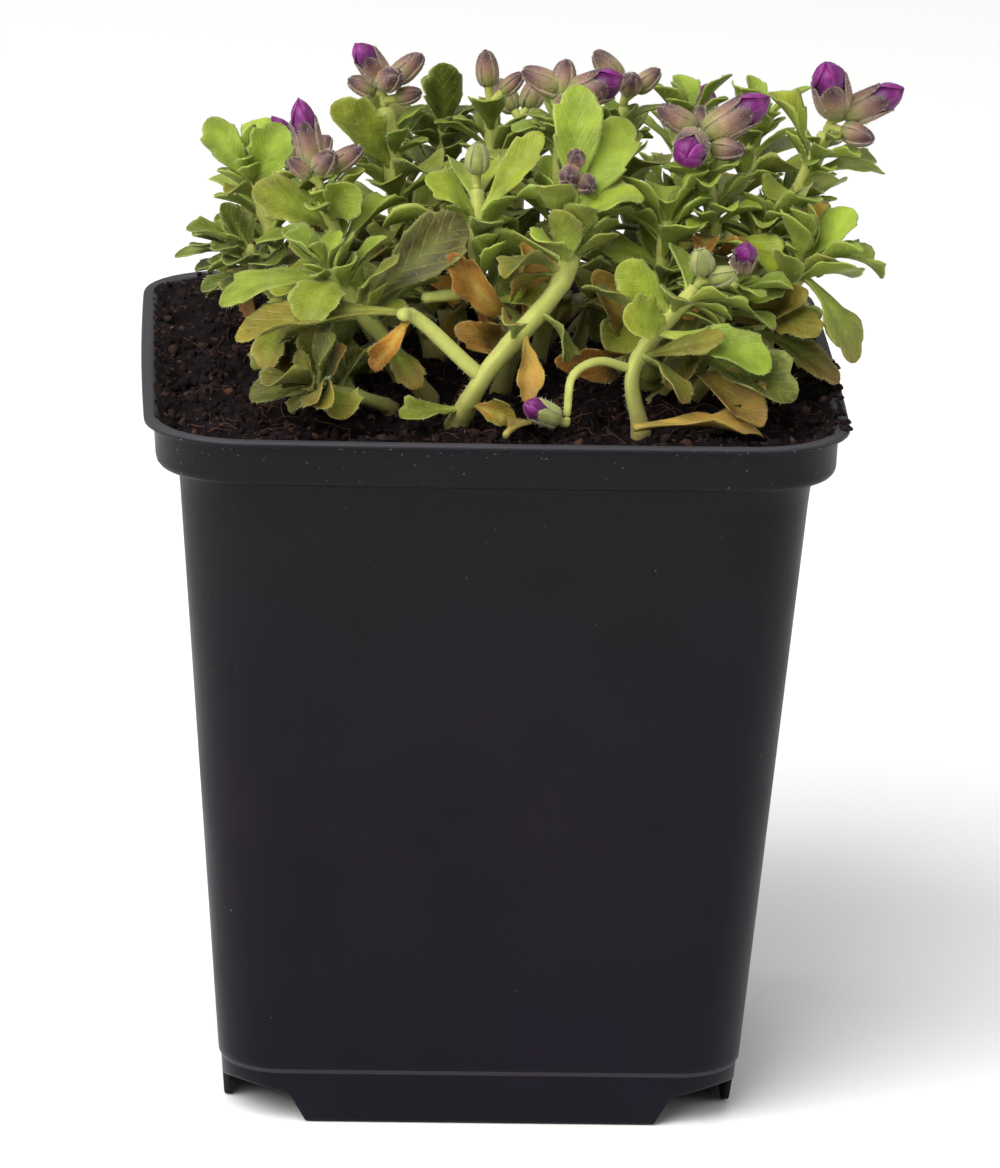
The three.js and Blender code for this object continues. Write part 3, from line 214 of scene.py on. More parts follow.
# Leaves that stand where the photographed side shows them: place on the stem, tip, half width, bend, the
# way that the face looks, and the shade where it differs from the shoot's
SINGLE_LEAVES = [
    Leaf("shoot_front_centre", 0.9, (10, -14.5, 134), 3.4, 0.5, (0, -1, 0.2)),
    Leaf("shoot_front_centre", 0.87, (16.5, -12, 129), 3.4, 0.7, (0.1, -0.9, 0.6)),
    Leaf("shoot_front_centre", 0.85, (18.5, -19, 120.5), 3.0, 1.2, (0, -0.3, 1)),
    Leaf("shoot_front_centre", 0.72, (4.5, -29, 117), 3.0, 0.8, (-0.3, -0.6, 1)),
    Leaf("shoot_front_centre", 0.5, (3.5, -36, 97.5), 2.0, 0.5, (0.2, -1, 0.3), "dry"),
    Leaf("shoot_front_centre", 1.7, (-33.5, -33, 104.5), 3.4, 0.7, (0, -0.3, 1), "old"),
    Leaf("shoot_front_centre", 1.6, (-16, -34.5, 101), 2.0, 0.5, (-0.2, -1, 0.6), "dry"),
    Leaf("shoot_front_centre", 0.1, (-12.5, -35.5, 95.3), 2.3, 0.4, (0, -0.5, 1), "mid"),
    Leaf("shoot_centre_woolly", 0.9, (-9.5, -19, 122.5), 2.7, 0.9, (0, -0.6, 1)),
    Leaf("shoot_centre_woolly", 0.9, (5.5, -16, 128), 2.3, 0.3, (-0.3, -1, 0.3)),
    Leaf("shoot_centre_woolly", 0.55, (7.5, -24, 107.8), 2.6, 0.5, (0.2, -0.5, 1)),
    Leaf("shoot_left_front", 0.9, (-24.5, -34.5, 107), 3.6, 1.3, (0, -0.6, 1)),
    Leaf("shoot_left_front", 0.85, (-35.5, -29, 108), 3.0, 1.4, (0, -0.4, 1)),
    # This leaf's dark olive brown is its own ageing colour, darkened further as painted shade
    Leaf("shoot_left_front", 0.7, (-4.5, -20, 117.5), 3.9, 0.5, (0.2, -0.9, 0.5), "dusk"),
    Leaf("shoot_left_bud", 0.8, (-31.5, -15, 119.5), 3.5, 0.8, (-0.2, -0.7, 0.8)),
    Leaf("shoot_left_bud", 0.86, (-18, -18, 121), 3.0, 0.5, (0, -1, 0.4)),
    Leaf("shoot_left_high", 0.95, (-37, -6, 127), 2.5, 0.7, (-0.5, -0.4, 0.7)),
    Leaf("shoot_left_high", 0.93, (-27.5, -7, 126.5), 3.2, 0.7, (0.1, -0.7, 0.8)),
    Leaf("shoot_right_low", 0.9, (46, -21, 99.5), 3.7, 0.8, (0.7, -0.5, 0.5), "mid"),
    Leaf("shoot_right_low", 0.97, (50, -11.5, 108.5), 2.5, 1.7, (0.1, -0.2, 1)),
    Leaf("shoot_right_mid", 0.5, (41, -23.5, 103.6), 3.6, 0.7, (0.1, -0.7, 0.8), "old"),
    Leaf("shoot_front_right", 0.6, (34.5, -33, 101.5), 3.2, 0.7, (0, -0.7, 0.8)),
    Leaf("shoot_front_right", 0.42, (28.5, -34, 106), 2.6, 0.2, (0, -0.5, 1), "old"),
    Leaf("shoot_front_right", 0.7, (15.5, -34, 108), 3.3, 0.6, (0, -1, 0.4)),
    Leaf("shoot_front_right", 0.75, (15, -29, 114), 2.8, 0.4, (0.2, -1, 0.3)),
    Leaf("shoot_right_small", 0.35, (37.5, -33.5, 97.6), 4.2, 0.5, (0, -0.6, 0.8), "dark"),
    Leaf("shoot_right_centre", 0.75, (13.2, -15.5, 113), 2.9, 1.2, (0, -0.5, 1), "mid"),
    Leaf("shoot_low_front_left", 0.75, (-19.5, -38, 95.6), 3.0, 0.4, (0, -0.6, 1), "mid"),
    Leaf("shoot_low_front_left", 0.4, (-25, -30, 105), 3.0, 0.4, (0, -1, 0.3), "dark"),
    Leaf("shoot_top_left", 0.8, (-21, 1, 127.5), 3.2, 0.9, (-0.2, -0.7, 0.7)),
    Leaf("shoot_behind_left", 0.95, (-6.5, 15, 130), 3.0, 0.5, (0.2, -1, 0.3)),
]

# Each head: the shoot that bears it, its finish, and its buds as direction, distance, length, radius and
# whether its petals show
HEADS = [
    Head("buds_left", "shoot_left_bud", "calyx", [
        [[-0.28, 0.0, 1], 6.2, 7.4, 1.7, True], [[0.1, -0.5, 0.9], 4.6, 5.5, 1.7, False],
      [[0.6, 0.0, 0.8], 4.9, 5.9, 1.5, False], [[-0.75, -0.1, 0.75], 3.8, 4.0, 1.2, False]]),
    Head("buds_top_left", "shoot_top_left", "calyx", [
        [[-0.3, -0.1, 1], 5.5, 5.5, 1.7, True], [[0.1, -0.5, 0.9], 4.8, 5.9, 1.9, False],
      [[0.55, 0.1, 1], 5.8, 5.7, 1.7, False], [[-0.8, 0.1, 0.7], 4.0, 4.4, 1.4, False],
      [[0.75, -0.3, 0.45], 3.7, 3.9, 1.3, False]]),
    Head("buds_top_centre", "shoot_top_centre", "calyx", [
        [[-0.1, 0.0, 1], 5.5, 5.3, 1.6, False], [[0.7, -0.1, 0.9], 4.6, 4.2, 1.2, False]]),
    Head("buds_top", "shoot_top_buds", "calyx", [
        [[-0.5, 0.1, 1], 5.3, 6.4, 1.8, False], [[0.05, 0.1, 1], 5.0, 5.7, 1.8, False],
      [[0.75, -0.1, 0.8], 5.2, 5.9, 2.2, True], [[0.1, -0.7, 0.6], 4.1, 4.6, 1.5, False],
      [[-0.35, 0.5, 0.7], 4.6, 4.6, 1.4, False]]),
    Head("buds_top_dry", "shoot_top_dry", "beige", [
        [[-0.45, 0.0, 1], 5.5, 5.9, 1.7, False], [[0.15, -0.5, 0.8], 4.0, 4.4, 1.7, False],
      [[0.7, 0.0, 0.8], 4.5, 4.6, 1.4, False]]),
    Head("buds_centre_round", "shoot_front_centre", "calyx", [
        [[-0.25, -1, 0.55], 4.0, 3.7, 1.7, False], [[0.35, -1, 0.25], 4.2, 3.5, 1.5, False],
      [[0.0, -0.5, 0.95], 4.2, 3.5, 1.5, False]]),
    Head("bud_woolly", "shoot_centre_woolly", "woolly", [
        [[0.0, -0.1, 1], 4.1, 4.6, 1.7, False]]),
    Head("buds_right", "shoot_right_bud", "calyx", [
        [[-0.6, 0.1, 1], 5.8, 6.4, 1.8, False], [[-0.28, -0.75, 0.5], 4.6, 5.5, 2.3, True],
      [[0.7, 0.0, 0.95], 6.2, 7.4, 2.2, True], [[0.7, -0.4, 0.35], 4.3, 5.0, 1.6, False],
      [[0.0, 0.4, 1], 4.6, 5.2, 1.4, False]]),
    Head("buds_far_right", "shoot_right_high", "calyx", [
        [[0.1, -0.25, 1], 5.4, 6.8, 2.4, True], [[0.2, 0.75, 0.8], 5.2, 5.6, 1.6, False],
      [[0.95, -0.1, 0.7], 6.2, 6.8, 2.0, True], [[0.75, -0.5, 0.05], 4.6, 5.2, 1.7, False]]),
    Head("buds_front_right", "shoot_front_right", "woolly", [
        [[0.1, -0.4, 0.9], 4.1, 4.6, 1.7, False], [[0.85, -0.4, 0.5], 3.9, 4.2, 1.5, False]]),
    Head("bud_right_small", "shoot_right_small", "calyx", [
        [[0.15, -0.6, 0.8], 4.1, 4.6, 1.5, True]]),
    Head("bud_hanging", "shoot_front_right", "woolly", on_branch=True, buds=[
        [[-0.8, -0.55, 0.3], 3.6, 4.6, 1.5, True]]),
    Head("buds_back_left", "shoot_back_left", "calyx", [
        [[-0.5, 0.1, 1], 5.3, 6.1, 1.7, True], [[0.4, 0.5, 0.9], 4.9, 5.5, 1.6, False]]),
    Head("buds_back", "shoot_back_centre", "calyx", [
        [[0.4, 0.3, 1], 5.3, 6.1, 1.8, False], [[-0.5, 0.5, 0.9], 4.9, 5.5, 1.7, False]]),
    Head("buds_back_right", "shoot_back_right", "calyx", [
        [[0.3, 0.6, 1], 5.2, 5.9, 1.7, True], [[-0.6, 0.3, 0.8], 4.5, 4.8, 1.5, False]]),
]

# Dead leaves on the compost: their middle, the way they point, length and half width
FALLEN_LEAVES = [
    Fallen("fallen_leaf_front", (2.6, -36.5), 1.2, 11, 2.3),
    Fallen("fallen_leaf_right", (25.5, -35.5), 0.15, 17, 4.0),
]


# Leaves that the photographed side shows between the solid ones
EXTRA_LEAVES = [
    Leaf("shoot_centre_woolly", 0.34, (-6.4, -24.5, 114), 2.6, 1.1, (-0.4, -1, 0.4), "dry"),
    Leaf("shoot_centre_woolly", 0.3, (3.5, -19.5, 114.5), 3.0, 1.2, (0.5, -0.9, 0.2), "dry"),
    Leaf("shoot_centre_woolly", 0.2, (-5.5, -25, 104.5), 2.6, 1.6, (0.2, -1, 0.2), "dry"),
    Leaf("shoot_front_centre", 0.16, (2.2, -34.5, 94.6), 2.0, 0.5, (0.3, -1, 0.2), "dry"),
    Leaf("shoot_right_centre", 0.2, (7.2, -30, 101.5), 2.6, 1.1, (0, -1, 0.2), "dry"),
    Leaf("shoot_right_centre", 0.3, (12.4, -22, 111.5), 3.0, 0.8, (0.2, -1, 0.2), "dry"),
    Leaf("shoot_right_small", 0.2, (33.5, -34.5, 94.4), 3.4, 0.9, (0, -0.4, 1), "dry"),
    Leaf("shoot_right_mid", 0.4, (40, -19.5, 108.5), 3.2, 0.8, (0.1, -1, 0.4), "dry"),
    Leaf("shoot_right_low", 0.45, (44.5, -18, 96.2), 2.8, 0.8, (0.2, -0.5, 0.9), "dark"),
]


# Finer growth on each shoot: how many leaves are tried, how close they may come to others, and the ranges
# of their place on the stem, length, bend and angle from the stem, with their youth
FINER = [
    dict(kind="tip", count=12, easing=0.5, at=(0.84, 1.0), length=(4.5, 8.5), bend=(0.2, 0.8),
         opened=(0.15, 0.95), youth=0.9),
    dict(kind="middle", count=10, easing=0.55, at=(0.6, 0.96), length=(6.5, 10.5), bend=(0.2, 1.0),
         opened=(0.35, 1.0), youth=0.5),
    dict(kind="ageing", count=9, easing=0.68, at=(0.14, 0.68), length=(8, 13), bend=(0.8, 1.8),
         opened=(1.0, 1.75), youth=0.1),
]
AGEING_SHADES = ["dark", "old", "dry", "mid", "dark"]
EXTRA_SEED = 5000
FINER_SEED = 9000
FULL_STEM = 31                    # stems at least this long have all their finer growth
BUD_SHOWS = 0.8                   # how far finer leaves may rise past the end of a stem that bears buds
BARE_SHARE = 0.6                  # how much of the way up to its lowest leaf by rule a stem stays bare


class Draw:
    """Repeatable draws: each number is the last one times 48271, modulo the prime 2147483647."""

    def __init__(self, seed):
        self.last = seed

    def __call__(self, low, high):
        self.last = self.last * 48271 % 2147483647
        return low + (high - low) * self.last / 2147483647


def mix(a, b, f):
    """What lies a share f of the way from a to b."""
    return a + (b - a) * f


def unit(vectors):
    """Vectors scaled to length one."""
    vectors = np.asarray(vectors, float)
    return vectors / np.maximum(np.linalg.norm(vectors, axis=-1, keepdims=True), 1e-12)


def soil_height(x, y):
    """The compost's top: a level, a low mound at the plant, waves of two sizes and a bank at one corner."""
    mound = 0.9 * np.exp(-(x * x + y * y) / 700)
    broad = 0.55 * np.sin(0.21 * x + 1.3) * np.cos(0.19 * y + 0.4)
    short = 0.35 * np.sin(0.47 * x - 0.39 * y)
    bank = 1.6 * np.exp(-((x + 36) ** 2 + (y - 36) ** 2) / 260)
    return SOIL_LEVEL + mound + broad + short + bank


def lowest_height(x, y):
    """The lowest height that foliage may reach: the compost, the pot's lip, or nothing outside it."""
    reach = np.maximum(np.abs(x), np.abs(y))
    outside = np.where(reach < LIP_HALF + 1.5, POT_TOP + 0.2, -100.0)
    return np.where(reach < LIP_INNER_HALF - 0.5, soil_height(x, y), outside)


def along(points, fraction):
    """A smooth curve through points: a cubic whose slope at each point is half its neighbours' distance."""
    points = np.asarray(points, float)
    last = len(points) - 1
    place = np.minimum(np.asarray(fraction, float) * last, last - 1e-9)
    index = np.floor(place).astype(int)
    t = (place - index)[..., None]
    padded = np.vstack([2 * points[0] - points[1], points, 2 * points[-1] - points[-2]])
    a, b, c, d = (padded[index + k] for k in range(4))
    return ((-0.5 * t + t * t - 0.5 * t ** 3) * a + (1 - 2.5 * t * t + 1.5 * t ** 3) * b
            + (0.5 * t + 2 * t * t - 1.5 * t ** 3) * c + (-0.5 * t * t + 0.5 * t ** 3) * d)


def heading(points, fraction):
    """The direction of a curve, from two places a hundredth of its length to either side."""
    low = np.maximum(np.asarray(fraction, float) - 0.01, 0)
    high = np.minimum(np.asarray(fraction, float) + 0.01, 1)
    return unit(along(points, high) - along(points, low))


def sideways(direction):
    """Two directions square to a stem, the first of them level and across the view."""
    first = unit(np.cross([0.0, 1.0, 0.0], direction))
    return first, np.cross(direction, first)


def length_of(line):
    """The length of a line through points."""
    return np.sum(np.linalg.norm(np.diff(line, axis=0), axis=1))


def shoot_named(name):
    return next(shoot for shoot in SHOOTS if shoot.name == name)


def stem_points(shoot):
    """The points of a shoot's stem, from just over the compost."""
    x, y = shoot.stem[0]
    return np.array([[x, y, soil_height(x, y) + 0.3]] + shoot.stem[1:], float)


def branch_points(shoot):
    """The points of a shoot's branch, from where it leaves the stem."""
    return np.vstack([along(stem_points(shoot), shoot.branch["at"]), shoot.branch["to"]])


def place_on(shoot, at):
    """The point and the direction at a place on a shoot: up to 1 on its stem, past 1 on its branch."""
    points = branch_points(shoot) if at > 1 else stem_points(shoot)
    fraction = at - 1 if at > 1 else at
    return along(points, fraction), heading(points, fraction)


def leaf_frame(base, out, face, length, half, bend, fold):
    """A leaf's frame: its midrib leaves the base along 'out' and bends away from 'face'."""
    forward = unit(out)
    normal = unit(face - np.dot(face, forward) * forward)
    return SimpleNamespace(base=np.asarray(base, float), forward=forward, normal=normal,
                           across=np.cross(normal, forward), length=length, half=half, bend=bend, fold=fold)


def leaf_point(leaf, s, v, lift):
    """Points of a leaf. Its midrib is an arc of so long a length that turns through the angle 'bend'.
    The point lies at s of that length, v half widths beside it, and 'lift' plus the fold's rise above it."""
    angle = leaf.bend * s
    reach = leaf.length * np.sin(angle) / leaf.bend
    fall = leaf.length * (1 - np.cos(angle)) / leaf.bend
    rise = lift + leaf.fold * np.abs(v) * leaf.half
    return (leaf.base + (reach + rise * np.sin(angle))[..., None] * leaf.forward
            + (rise * np.cos(angle) - fall)[..., None] * leaf.normal
            + (v * leaf.half)[..., None] * leaf.across)


SAMPLE_S = np.repeat([s for s, w in SAMPLE_ROWS], 3)
SAMPLE_V = np.concatenate([[-0.85 * w, 0, 0.85 * w] for s, w in SAMPLE_ROWS])


def samples_of(leaf):
    """Fifteen points of a leaf, with the blade's direction there and the reach of each."""
    reach = 0.5 + 0.6 * max(0.22 * leaf.length, 0.8 * leaf.half)
    angle = leaf.bend * SAMPLE_S
    normals = np.cos(angle)[:, None] * leaf.normal + np.sin(angle)[:, None] * leaf.forward
    return leaf_point(leaf, SAMPLE_S, SAMPLE_V, 0 * SAMPLE_V), normals, reach


class Taken:
    """Places kept free: points with the direction that each is flat along, a reach and a half height."""

    def __init__(self, room=20000):
        self.count = 0
        self.points = np.zeros((room, 3))
        self.normals = np.zeros((room, 3))
        self.reach = np.zeros(room)
        self.height = np.zeros(room)
        self.owner = np.zeros(room, int)
        self.stem = np.zeros(room, bool)

    def add(self, owner, points, normals, reach, height, stem=False):
        points = np.atleast_2d(points)
        here = slice(self.count, self.count + len(points))
        self.points[here] = points
        self.normals[here] = normals
        self.reach[here] = reach
        self.height[here] = height
        self.owner[here] = owner
        self.stem[here] = stem
        self.count += len(points)

    def crossed_by(self, owner, leaf, easing=1.0):
        """Whether a leaf would meet the compost, the lip or anything placed. Two places meet where the
        distance lies inside the flat ellipsoid round either. Easing makes the ellipsoids smaller."""
        points, normals, reach = samples_of(leaf)
        if np.any(points[:, 2] < lowest_height(points[:, 0], points[:, 1]) + LEAF_CLEAR):
            return True
        n = self.count
        away = np.linalg.norm(self.points[:n] - leaf.base, axis=1)
        own = (self.owner[:n] == owner) & (self.stem[:n] | (away < AT_BASE))
        near = np.nonzero(~own & (away < leaf.length + 4))[0]
        if not len(near):
            return False
        offset = points[:, None, :] - self.points[None, near, :]
        square = np.sum(offset ** 2, -1)
        high = np.abs(np.sum(offset * self.normals[near], -1))
        flat = square - high ** 2
        there = flat / (self.reach[near] * easing) ** 2 + (high / (self.height[near] * easing)) ** 2 < 1
        high = np.abs(np.sum(offset * normals[:, None, :], -1))
        flat = square - high ** 2
        here = flat / (reach * easing) ** 2 + (high / (HALF_SPACE * easing)) ** 2 < 1
        here &= ~self.stem[near]
        return bool(np.any((there | here) & (square <= FAR_APART)))


SINGLE_FOLD = 0.12                # rise of the blade's halves beside the midrib, as a slope
FACE_UP = np.array([0, 0, 0.5])   # how much a leaf's face looks up
REACH_UP = np.array([0, 0, 0.2])  # how much a leaf grows up


def single_leaf(entry):
    """A leaf given by its place on a stem and its tip: the arc whose chord joins the two."""
    shoot = shoot_named(entry.shoot)
    point, _ = place_on(shoot, entry.at)
    chord = np.array(entry.to, float) - point
    bend = entry.bend
    length = np.linalg.norm(chord) * (bend / 2) / math.sin(bend / 2)
    chord = unit(chord)
    face = np.array(entry.face, float)
    normal = unit(face - np.dot(face, chord) * chord)
    out = chord * math.cos(bend / 2) + normal * math.sin(bend / 2)
    return leaf_frame(point, out, normal, length, entry.half, bend, SINGLE_FOLD)


def leaning_leaf(shoot, at, turn, opened, length, half, bend, fold):
    """A leaf that leaves its stem at a turn round it, opened by an angle from the stem's direction."""
    point, direction = place_on(shoot, at)
    first, second = sideways(direction)
    side = first * math.cos(turn) + second * math.sin(turn)
    out = direction * math.cos(opened) + side * math.sin(opened) + REACH_UP
    return leaf_frame(point, out, direction + FACE_UP, length, half, bend, fold)


def head_start(head):
    """Where a head starts, just clear of the end of its stem."""
    point, direction = place_on(shoot_named(head.shoot), 2 if head.on_branch else 1)
    return point + direction * (GAP + 0.02), direction


def bud_frame(head, rank):
    """A bud's frame: its foot on the head's axis, its own axis from there to its middle, and its base."""
    start, direction = head_start(head)
    aim, distance, length, radius, is_open = head.buds[rank]
    middle = start + unit(aim) * distance
    foot = start + direction * FOOT_STEP * (len(head.buds) - rank)
    axis = unit(middle - foot)
    return SimpleNamespace(foot=foot, axis=axis, base=middle - axis * length / 2, length=length,
                           radius=radius, open=is_open)


def drawn_bud(head, rank):
    """A bud as it is drawn: a closed one is a little slimmer and shorter than the place kept for it."""
    bud = bud_frame(head, rank)
    slim, short = (0.97, 1.0) if bud.open else (0.87, 0.88)
    bud.base = bud.base + bud.axis * bud.length * (1 - short) / 2
    bud.length *= short
    bud.radius *= slim
    return bud


def grow():
    """Every leaf by the solids' own rule and draws, then the finer growth that only shows here: small
    young leaves at the tips, and ageing ones low on the stems. Returns a list of leaves for each shoot."""
    taken = Taken()
    for index, shoot in enumerate(SHOOTS):
        for line in [stem_points(shoot)] + ([branch_points(shoot)] if shoot.branch else []):
            reach = shoot.thick[0] + STEM_CLEAR
            places = along(line, np.arange(STEM_PLACES + 1) / STEM_PLACES)
            taken.add(index, places, [0, 0, 1], reach, reach, stem=True)
    for head in HEADS:
        for rank in range(len(head.buds)):
            bud = bud_frame(head, rank)
            for s in BUD_PLACES:
                reach = bud.radius * (0.4 if s < 0 else 1) + STEM_CLEAR
                taken.add(NO_SHOOT, bud.base + bud.axis * s * bud.length, [0, 0, 1], reach, reach)
    leaves = [[] for _ in SHOOTS]
    draw = Draw(SEED)

    def keep(index, leaf, at, shade, youth, large, seed):
        vars(leaf).update(at=at, shade=shade, youth=youth, large=large, dead=shade == "dry", seed=seed)
        leaves[index].append(leaf)
        points, normals, reach = samples_of(leaf)
        taken.add(index, points, normals, reach, HALF_SPACE)

    names = [shoot.name for shoot in SHOOTS]
    for number, entry in enumerate(SINGLE_LEAVES):
        index = names.index(entry.shoot)
        youth = 0.25 if entry.shade else 0.6
        keep(index, single_leaf(entry), entry.at, entry.shade or SHOOTS[index].shade, youth, True, number)
    for index, shoot in enumerate(SHOOTS):
        phase = draw(0, 2 * math.pi)
        for i in range(shoot.leaves):
            f = i / (shoot.leaves - 1)
            at = mix(shoot.low, 0.985, f ** 0.6)
            turn = phase + i * GOLDEN_ANGLE + draw(-0.25, 0.25)
            opened = mix(1.25, 0.42, f) + draw(-0.15, 0.15)
            length = mix(*shoot.lengths, f) * draw(0.9, 1.1)
            half = length * draw(0.25, 0.31)
            bend = mix(1.1, 0.45, f) * draw(0.7, 1.3)
            fold = draw(0.08, 0.3)
            for leaf in bent_clear(shoot, at, turn, opened, length, half, bend, fold):
                if not taken.crossed_by(index, leaf):
                    keep(index, leaf, at, shoot.shade, f, False, 100 * index + i)
                    break
    for number, entry in enumerate(EXTRA_LEAVES):
        index = names.index(entry.shoot)
        keep(index, single_leaf(entry), entry.at, entry.shade, 0.2, True, EXTRA_SEED + number)
    finer = Draw(SEED + 1)
    for index, shoot in enumerate(SHOOTS):
        points = stem_points(shoot)
        tall = min(length_of(points) / FULL_STEM, 1)
        headed = any(head.shoot == shoot.name for head in HEADS)
        top = points[-1, 2] + (BUD_SHOWS if headed else math.inf)
        for rank, kind in enumerate(FINER):
            for i in range(round(kind["count"] * tall)):
                at = finer(*kind["at"])
                length = finer(*kind["length"])
                half = length * finer(0.2, 0.28)
                bend = finer(*kind["bend"])
                opened = finer(*kind["opened"])
                turn = finer(0, 2 * math.pi)
                fold = finer(0.1, 0.4)
                shade = AGEING_SHADES[int(finer(0, len(AGEING_SHADES)))]
                ageing = kind["kind"] == "ageing"
                if at < BARE_SHARE * shoot.low:
                    continue
                for leaf in bent_clear(shoot, at, turn, opened, length, half, bend, fold):
                    if allowed(leaf, top) and not taken.crossed_by(index, leaf, kind["easing"]):
                        keep(index, leaf, at, shade if ageing else shoot.shade, kind["youth"],
                             ageing, FINER_SEED + 100 * index + 30 * rank + i)
                        break
    return leaves


def bent_clear(shoot, at, turn, opened, length, half, bend, fold):
    """A leaf in each of the ways in which it may be turned, opened and shrunk to stand clear."""
    for more_turn, more_open, shrink in BENDS:
        yield leaning_leaf(shoot, at, turn + more_turn, opened + more_open, length * shrink, half * shrink,
                           bend, fold)


def allowed(leaf, top):
    """Whether a leaf stays under a height, and half a millimetre inside the box of the solids."""
    points, _, _ = samples_of(leaf)
    low, high = (np.array(corner) / MM - AXIS for corner in CAD_BOX)
    return bool(np.max(points[:, 2]) < top and np.all(points > low + 0.5) and np.all(points < high - 0.5))


class Surface:
    """Points, faces and what the materials read from them, gathered for one piece."""

    def __init__(self):
        self.points = []
        self.tints = []
        self.places = []
        self.faces = []
        self.count = 0

    def add(self, points, faces, material, tint, place=None):
        """Adds points with their faces. A tint is one colour or one for each point, and a place is where
        each point lies on its own surface: across it and along it."""
        points = points.reshape(-1, 3)
        size = len(points)
        self.points.append(points)
        self.tints.append(np.broadcast_to(np.reshape(tint, (-1, 3)), (size, 3)))
        self.places.append(np.zeros((size, 2)) if place is None else np.reshape(place, (-1, 2)))
        for corners in faces:
            self.faces.append((corners + self.count, material))
        self.count += size

    def add_closed(self, rings, material, tint, ends=None, place=None, pole=0.0):
        """Adds closed tubes from points by tube, ring and turn. Each tube closes on two given points, or on
        the middles of its end rings. Those points take the tint of the end rings' first points, and lie
        at 'pole' across the surface."""
        tubes, rows, around, _ = rings.shape
        ends = rings[:, [0, -1]].mean(2) if ends is None else ends[None]
        points = np.concatenate([rings.reshape(tubes, -1, 3), ends], 1)
        tint = np.broadcast_to(tint, rings.shape)
        tint = np.concatenate([tint.reshape(tubes, -1, 3), tint[:, [0, -1], 0]], 1)
        if place is not None:
            place = np.broadcast_to(place, (tubes, rows, around, 2)).reshape(tubes, -1, 2)
            place = np.concatenate([place, np.tile([[[pole, 0.0], [pole, 1.0]]], (tubes, 1, 1))], 1)
        faces = repeated(tube_faces(rows, around), tubes, points.shape[1])
        self.add(points, faces, material, tint, place)

    def mesh(self, name):
        """A mesh in metres, with its place in it."""
        mesh = bpy.data.meshes.new(name)
        points = (np.vstack(self.points) + AXIS) * MM
        faces = [corners for group, _ in self.faces for corners in group.tolist()]
        mesh.from_pydata(points.tolist(), [], faces)
        return mesh


def ring_grid(rows, sides):
    """Rows, and the angles of so many points round each row."""
    return np.meshgrid(rows, 2 * np.pi * np.arange(sides) / sides, indexing="ij")


def tube_faces(rings, around):
    """Faces of a closed tube: four-sided ones between rings of points that run anticlockwise about its
    direction, and triangles to its start point and end point, which follow the rings' points."""
    ring = np.arange(rings - 1)[:, None] * around
    here = np.arange(around)
    after = (here + 1) % around
    sides = np.stack([ring + here, ring + after, ring + around + after, ring + around + here], -1)
    start = rings * around
    last = start - around
    low = np.stack([after, here, np.full(around, start)], -1)
    high = np.stack([last + here, last + after, np.full(around, start + 1)], -1)
    return [sides.reshape(-1, 4), np.vstack([low, high])]


def repeated(faces, copies, stride):
    """The faces of so many like shapes, each with its own points."""
    steps = (np.arange(copies) * stride)[:, None, None]
    return [(corners[None] + steps).reshape(-1, corners.shape[1]) for corners in faces]


def make_piece(name, surface, materials, slot, replaced=()):
    """A smooth object from a surface, with its tints and its places on the surface."""
    mesh = surface.mesh(name)
    for material in materials:
        mesh.materials.append(material)
    indices = np.concatenate([np.full(len(group), material) for group, material in surface.faces])
    mesh.polygons.foreach_set("material_index", indices.astype(np.int32))
    mesh.polygons.foreach_set("use_smooth", np.ones(len(indices), bool))
    tints = np.vstack(surface.tints)
    tints = np.hstack([tints, np.ones((len(tints), 1))])
    colours = mesh.color_attributes.new("tint", "FLOAT_COLOR", "POINT")
    colours.data.foreach_set("color", tints.ravel().astype(np.float32))
    corners = np.zeros(len(mesh.loops), np.int32)
    mesh.loops.foreach_get("vertex_index", corners)
    places = mesh.uv_layers.new(name="place")
    places.data.foreach_set("uv", np.vstack(surface.places)[corners].ravel().astype(np.float32))
    mesh.update()
    made = bpy.data.objects.new(name, mesh)
    bpy.context.scene.collection.objects.link(made)
    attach(made, "root")
    if replaced:
        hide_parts(*replaced)
    return made


def tube(surface, line, radii, material, tint, around=10, ribs=0.0):
    """A closed round tube along a line of points. Its radius is given for each point, and three low ribs
    run along it. Both ends are drawn in to a point half a radius further on."""
    ahead = unit(np.gradient(line, axis=0))
    first, second = (side[:, None] for side in sideways(ahead))
    share, turn = ring_grid(np.linspace(0, 1, len(line)), around)
    reach = (radii[:, None] * (1 + ribs * np.cos(3 * turn)))[..., None]
    rings = line[:, None] + reach * (np.cos(turn)[..., None] * first + np.sin(turn)[..., None] * second)
    ends = line[[0, -1]] + ahead[[0, -1]] * (radii[[0, -1]] * [-0.5, 0.5])[:, None]
    place = np.stack([turn, share], -1)
    surface.add_closed(rings[None], material, np.asarray(tint)[..., None, :], ends, place)


HAIR_FACES = [np.array([[0, 1, 3], [1, 2, 3], [2, 0, 3], [0, 2, 1]])]
HAIR_ROOT = 0.1                   # how deep a hair starts under the surface that bears it
LEAF_HAIR_RADIUS = 0.028
BUD_HAIR_RADIUS = 0.03


def add_hairs(surface, roots, directions, lengths, radius, material, tint):
    """Downy hairs: each is a slender three-sided spike from its root along its direction."""
    directions = unit(directions)
    first = unit(np.cross(directions, [0.31, 0.57, 0.76]))
    second = np.cross(directions, first)
    corners = [roots + radius * (math.cos(a) * first + math.sin(a) * second) - HAIR_ROOT * directions
               for a in (0, 2 * math.pi / 3, 4 * math.pi / 3)]
    points = np.stack(corners + [roots + directions * lengths[:, None]], 1)
    surface.add(points, repeated(HAIR_FACES, len(roots), 4), material, tint)


